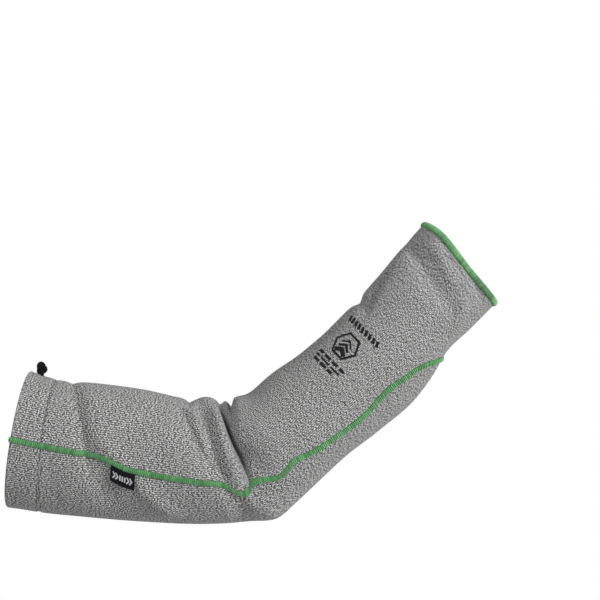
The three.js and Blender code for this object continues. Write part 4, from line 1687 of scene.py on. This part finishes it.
@dataclass(frozen=True)
class Studio:
    """Camera, lights and floor."""

    middle: tuple[float, float] = (267.0, 132.0)
    distance: float = 1400.0
    frame_width: float = 570.0
    floor: float = -430.0
    floor_radius: float = 1150.0
    ambient: float = 0.2
    lamps: tuple[tuple[str, tuple[float, float, float], float, float], ...] = (
        ("key", (2.45, -1.57, 0.91), 0.8, 74.0),
        ("fill", (-1.3, -1.5, 2.2), 1.2, 36.0),
    )

    def camera(self) -> Object:
        """The camera at the photograph's place.

        Returns:
            The camera.
        """
        data = bpy.data.cameras.new("camera")
        data.sensor_width = 36.0
        data.lens = 36.0 * self.distance / self.frame_width
        data.clip_start, data.clip_end = 0.05, 60.0
        camera = placed("camera", data)
        camera.location = (self.middle[0] * MM, -self.distance * MM, self.middle[1] * MM)
        camera.rotation_euler = (math.radians(90), 0.0, 0.0)
        bpy.context.scene.camera = camera
        return camera

    def lamp(self, name: str, place: tuple[float, float, float], size: float, power: float) -> None:
        """A square lamp that faces the sleeve's middle.

        Args:
            name: Its name.
            place: Where it stands, in metres.
            size: Its side, in metres.
            power: Its power, in watts.
        """
        data = bpy.data.lights.new(name, "AREA")
        data.size = size
        data.energy = power
        lamp = placed(name, data)
        lamp.location = place
        towards = Vector((self.middle[0] * MM, 0.0, self.middle[1] * MM * 0.5)) - Vector(place)
        lamp.rotation_euler = towards.to_track_quat("-Z", "Y").to_euler()

    def lights(self) -> None:
        """A soft lamp from the right in front, a weaker one from the upper left, and pale surroundings."""
        for lamp in self.lamps:
            self.lamp(*lamp)
        world = bpy.data.worlds.new("studio")
        bpy.context.scene.world = world
        world.use_nodes = True
        nodes, links = world.node_tree.nodes, world.node_tree.links
        soft = next(node for node in nodes if node.type == "BACKGROUND")
        seen = nodes.new("ShaderNodeBackground")
        for background, strength in ((soft, self.ambient), (seen, 1.0)):
            background.inputs["Color"].default_value = (1.0, 1.0, 1.0, 1.0)
            background.inputs["Strength"].default_value = strength
        path = nodes.new("ShaderNodeLightPath")
        either = nodes.new("ShaderNodeMixShader")
        links.new(path.outputs["Is Camera Ray"], either.inputs[0])
        links.new(soft.outputs[0], either.inputs[1])
        links.new(seen.outputs[0], either.inputs[2])
        output = next(node for node in nodes if node.type == "OUTPUT_WORLD")
        links.new(either.outputs[0], output.inputs["Surface"])
        bpy.context.scene.view_settings.view_transform = "Standard"

    def ground(self) -> Object:
        """A plain pale floor, far below the sleeve and out of the camera's view.

        Returns:
            The floor.
        """
        grid = bmesh.new()
        bmesh.ops.create_circle(grid, cap_ends=True, segments=96, radius=self.floor_radius * MM)
        middle = (self.middle[0] * MM, 0.0, self.floor * MM)
        bmesh.ops.translate(grid, vec=middle, verts=grid.verts)
        graph = Graph("pale_floor")
        graph.shader.inputs["Base Color"].default_value = (0.85, 0.85, 0.85, 1.0)
        graph.shader.inputs["Roughness"].default_value = 0.9
        floor = meshed("floor", grid, graph.material)
        return floor


def main() -> None:
    """Builds the sleeve's pieces in order."""
    logging.basicConfig(level=logging.INFO, format="%(message)s")
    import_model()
    sleeve = WornSleeve()
    studio = Studio()
    studio.camera()
    cord = Drawcord(sleeve)
    braid = CordFinish().made()
    loop = cord.in_tunnel(braid)
    knot = cord.knot(braid)

    spread = sleeve.point(np.full(200, PRINT_AT), np.linspace(PRINT_ANGLE, 180, 200)) / MM
    arc = float(distances(spread)[-1])
    stretch = float(sleeve.girth(np.array([PRINT_AT]))[0]) / KNIT_GIRTH
    emblem = Print(float(sleeve.length_at(PRINT_AT)), -arc / stretch, stretch)
    knit = KnitFinish("melange_knit_printed").made(emblem)
    # Darker copies of the knit as painted shade: the gusset on the underside, the casing inside the hem, and
    # the hem's stitches in their groove.
    shaded_gusset_knit = KnitFinish("melange_knit_gusset_shaded", shade=0.96, line_shade=0.92).made()
    shaded_casing_knit = KnitFinish("melange_knit_casing_shaded", shade=0.92).made()
    panels = Panels(sleeve)
    main_panel = panels.main_panel(knit)
    gusset = panels.gusset(shaded_gusset_knit)
    casing = panels.casing(shaded_casing_knit)
    HemStitches(sleeve).made(KnitFinish("melange_stitch_yarn_shaded", shade=0.55).made())

    seams = GreenSeams(sleeve)
    thread, edging, shaded_bed = (
        ThreadFinish(f"green_{name}_thread", seams.pitch, *tones).made() for name, tones in GREENS.items()
    )
    # The bed's material is the thread's green made far darker, as painted shade between the wound threads.
    seams.seam_bed(shaded_bed)
    seam = seams.gusset_seam(thread)
    seams.binding_bed(shaded_bed)
    seams.wrist_binding(edging)
    tag = SideLabel(sleeve)
    label = tag.made(WeaveFinish(tag.width, tag.drop).made())

    path = cord.tunnel_path() * MM

    studio.lights()
    studio.ground()


if __name__ == "__main__":
    main()
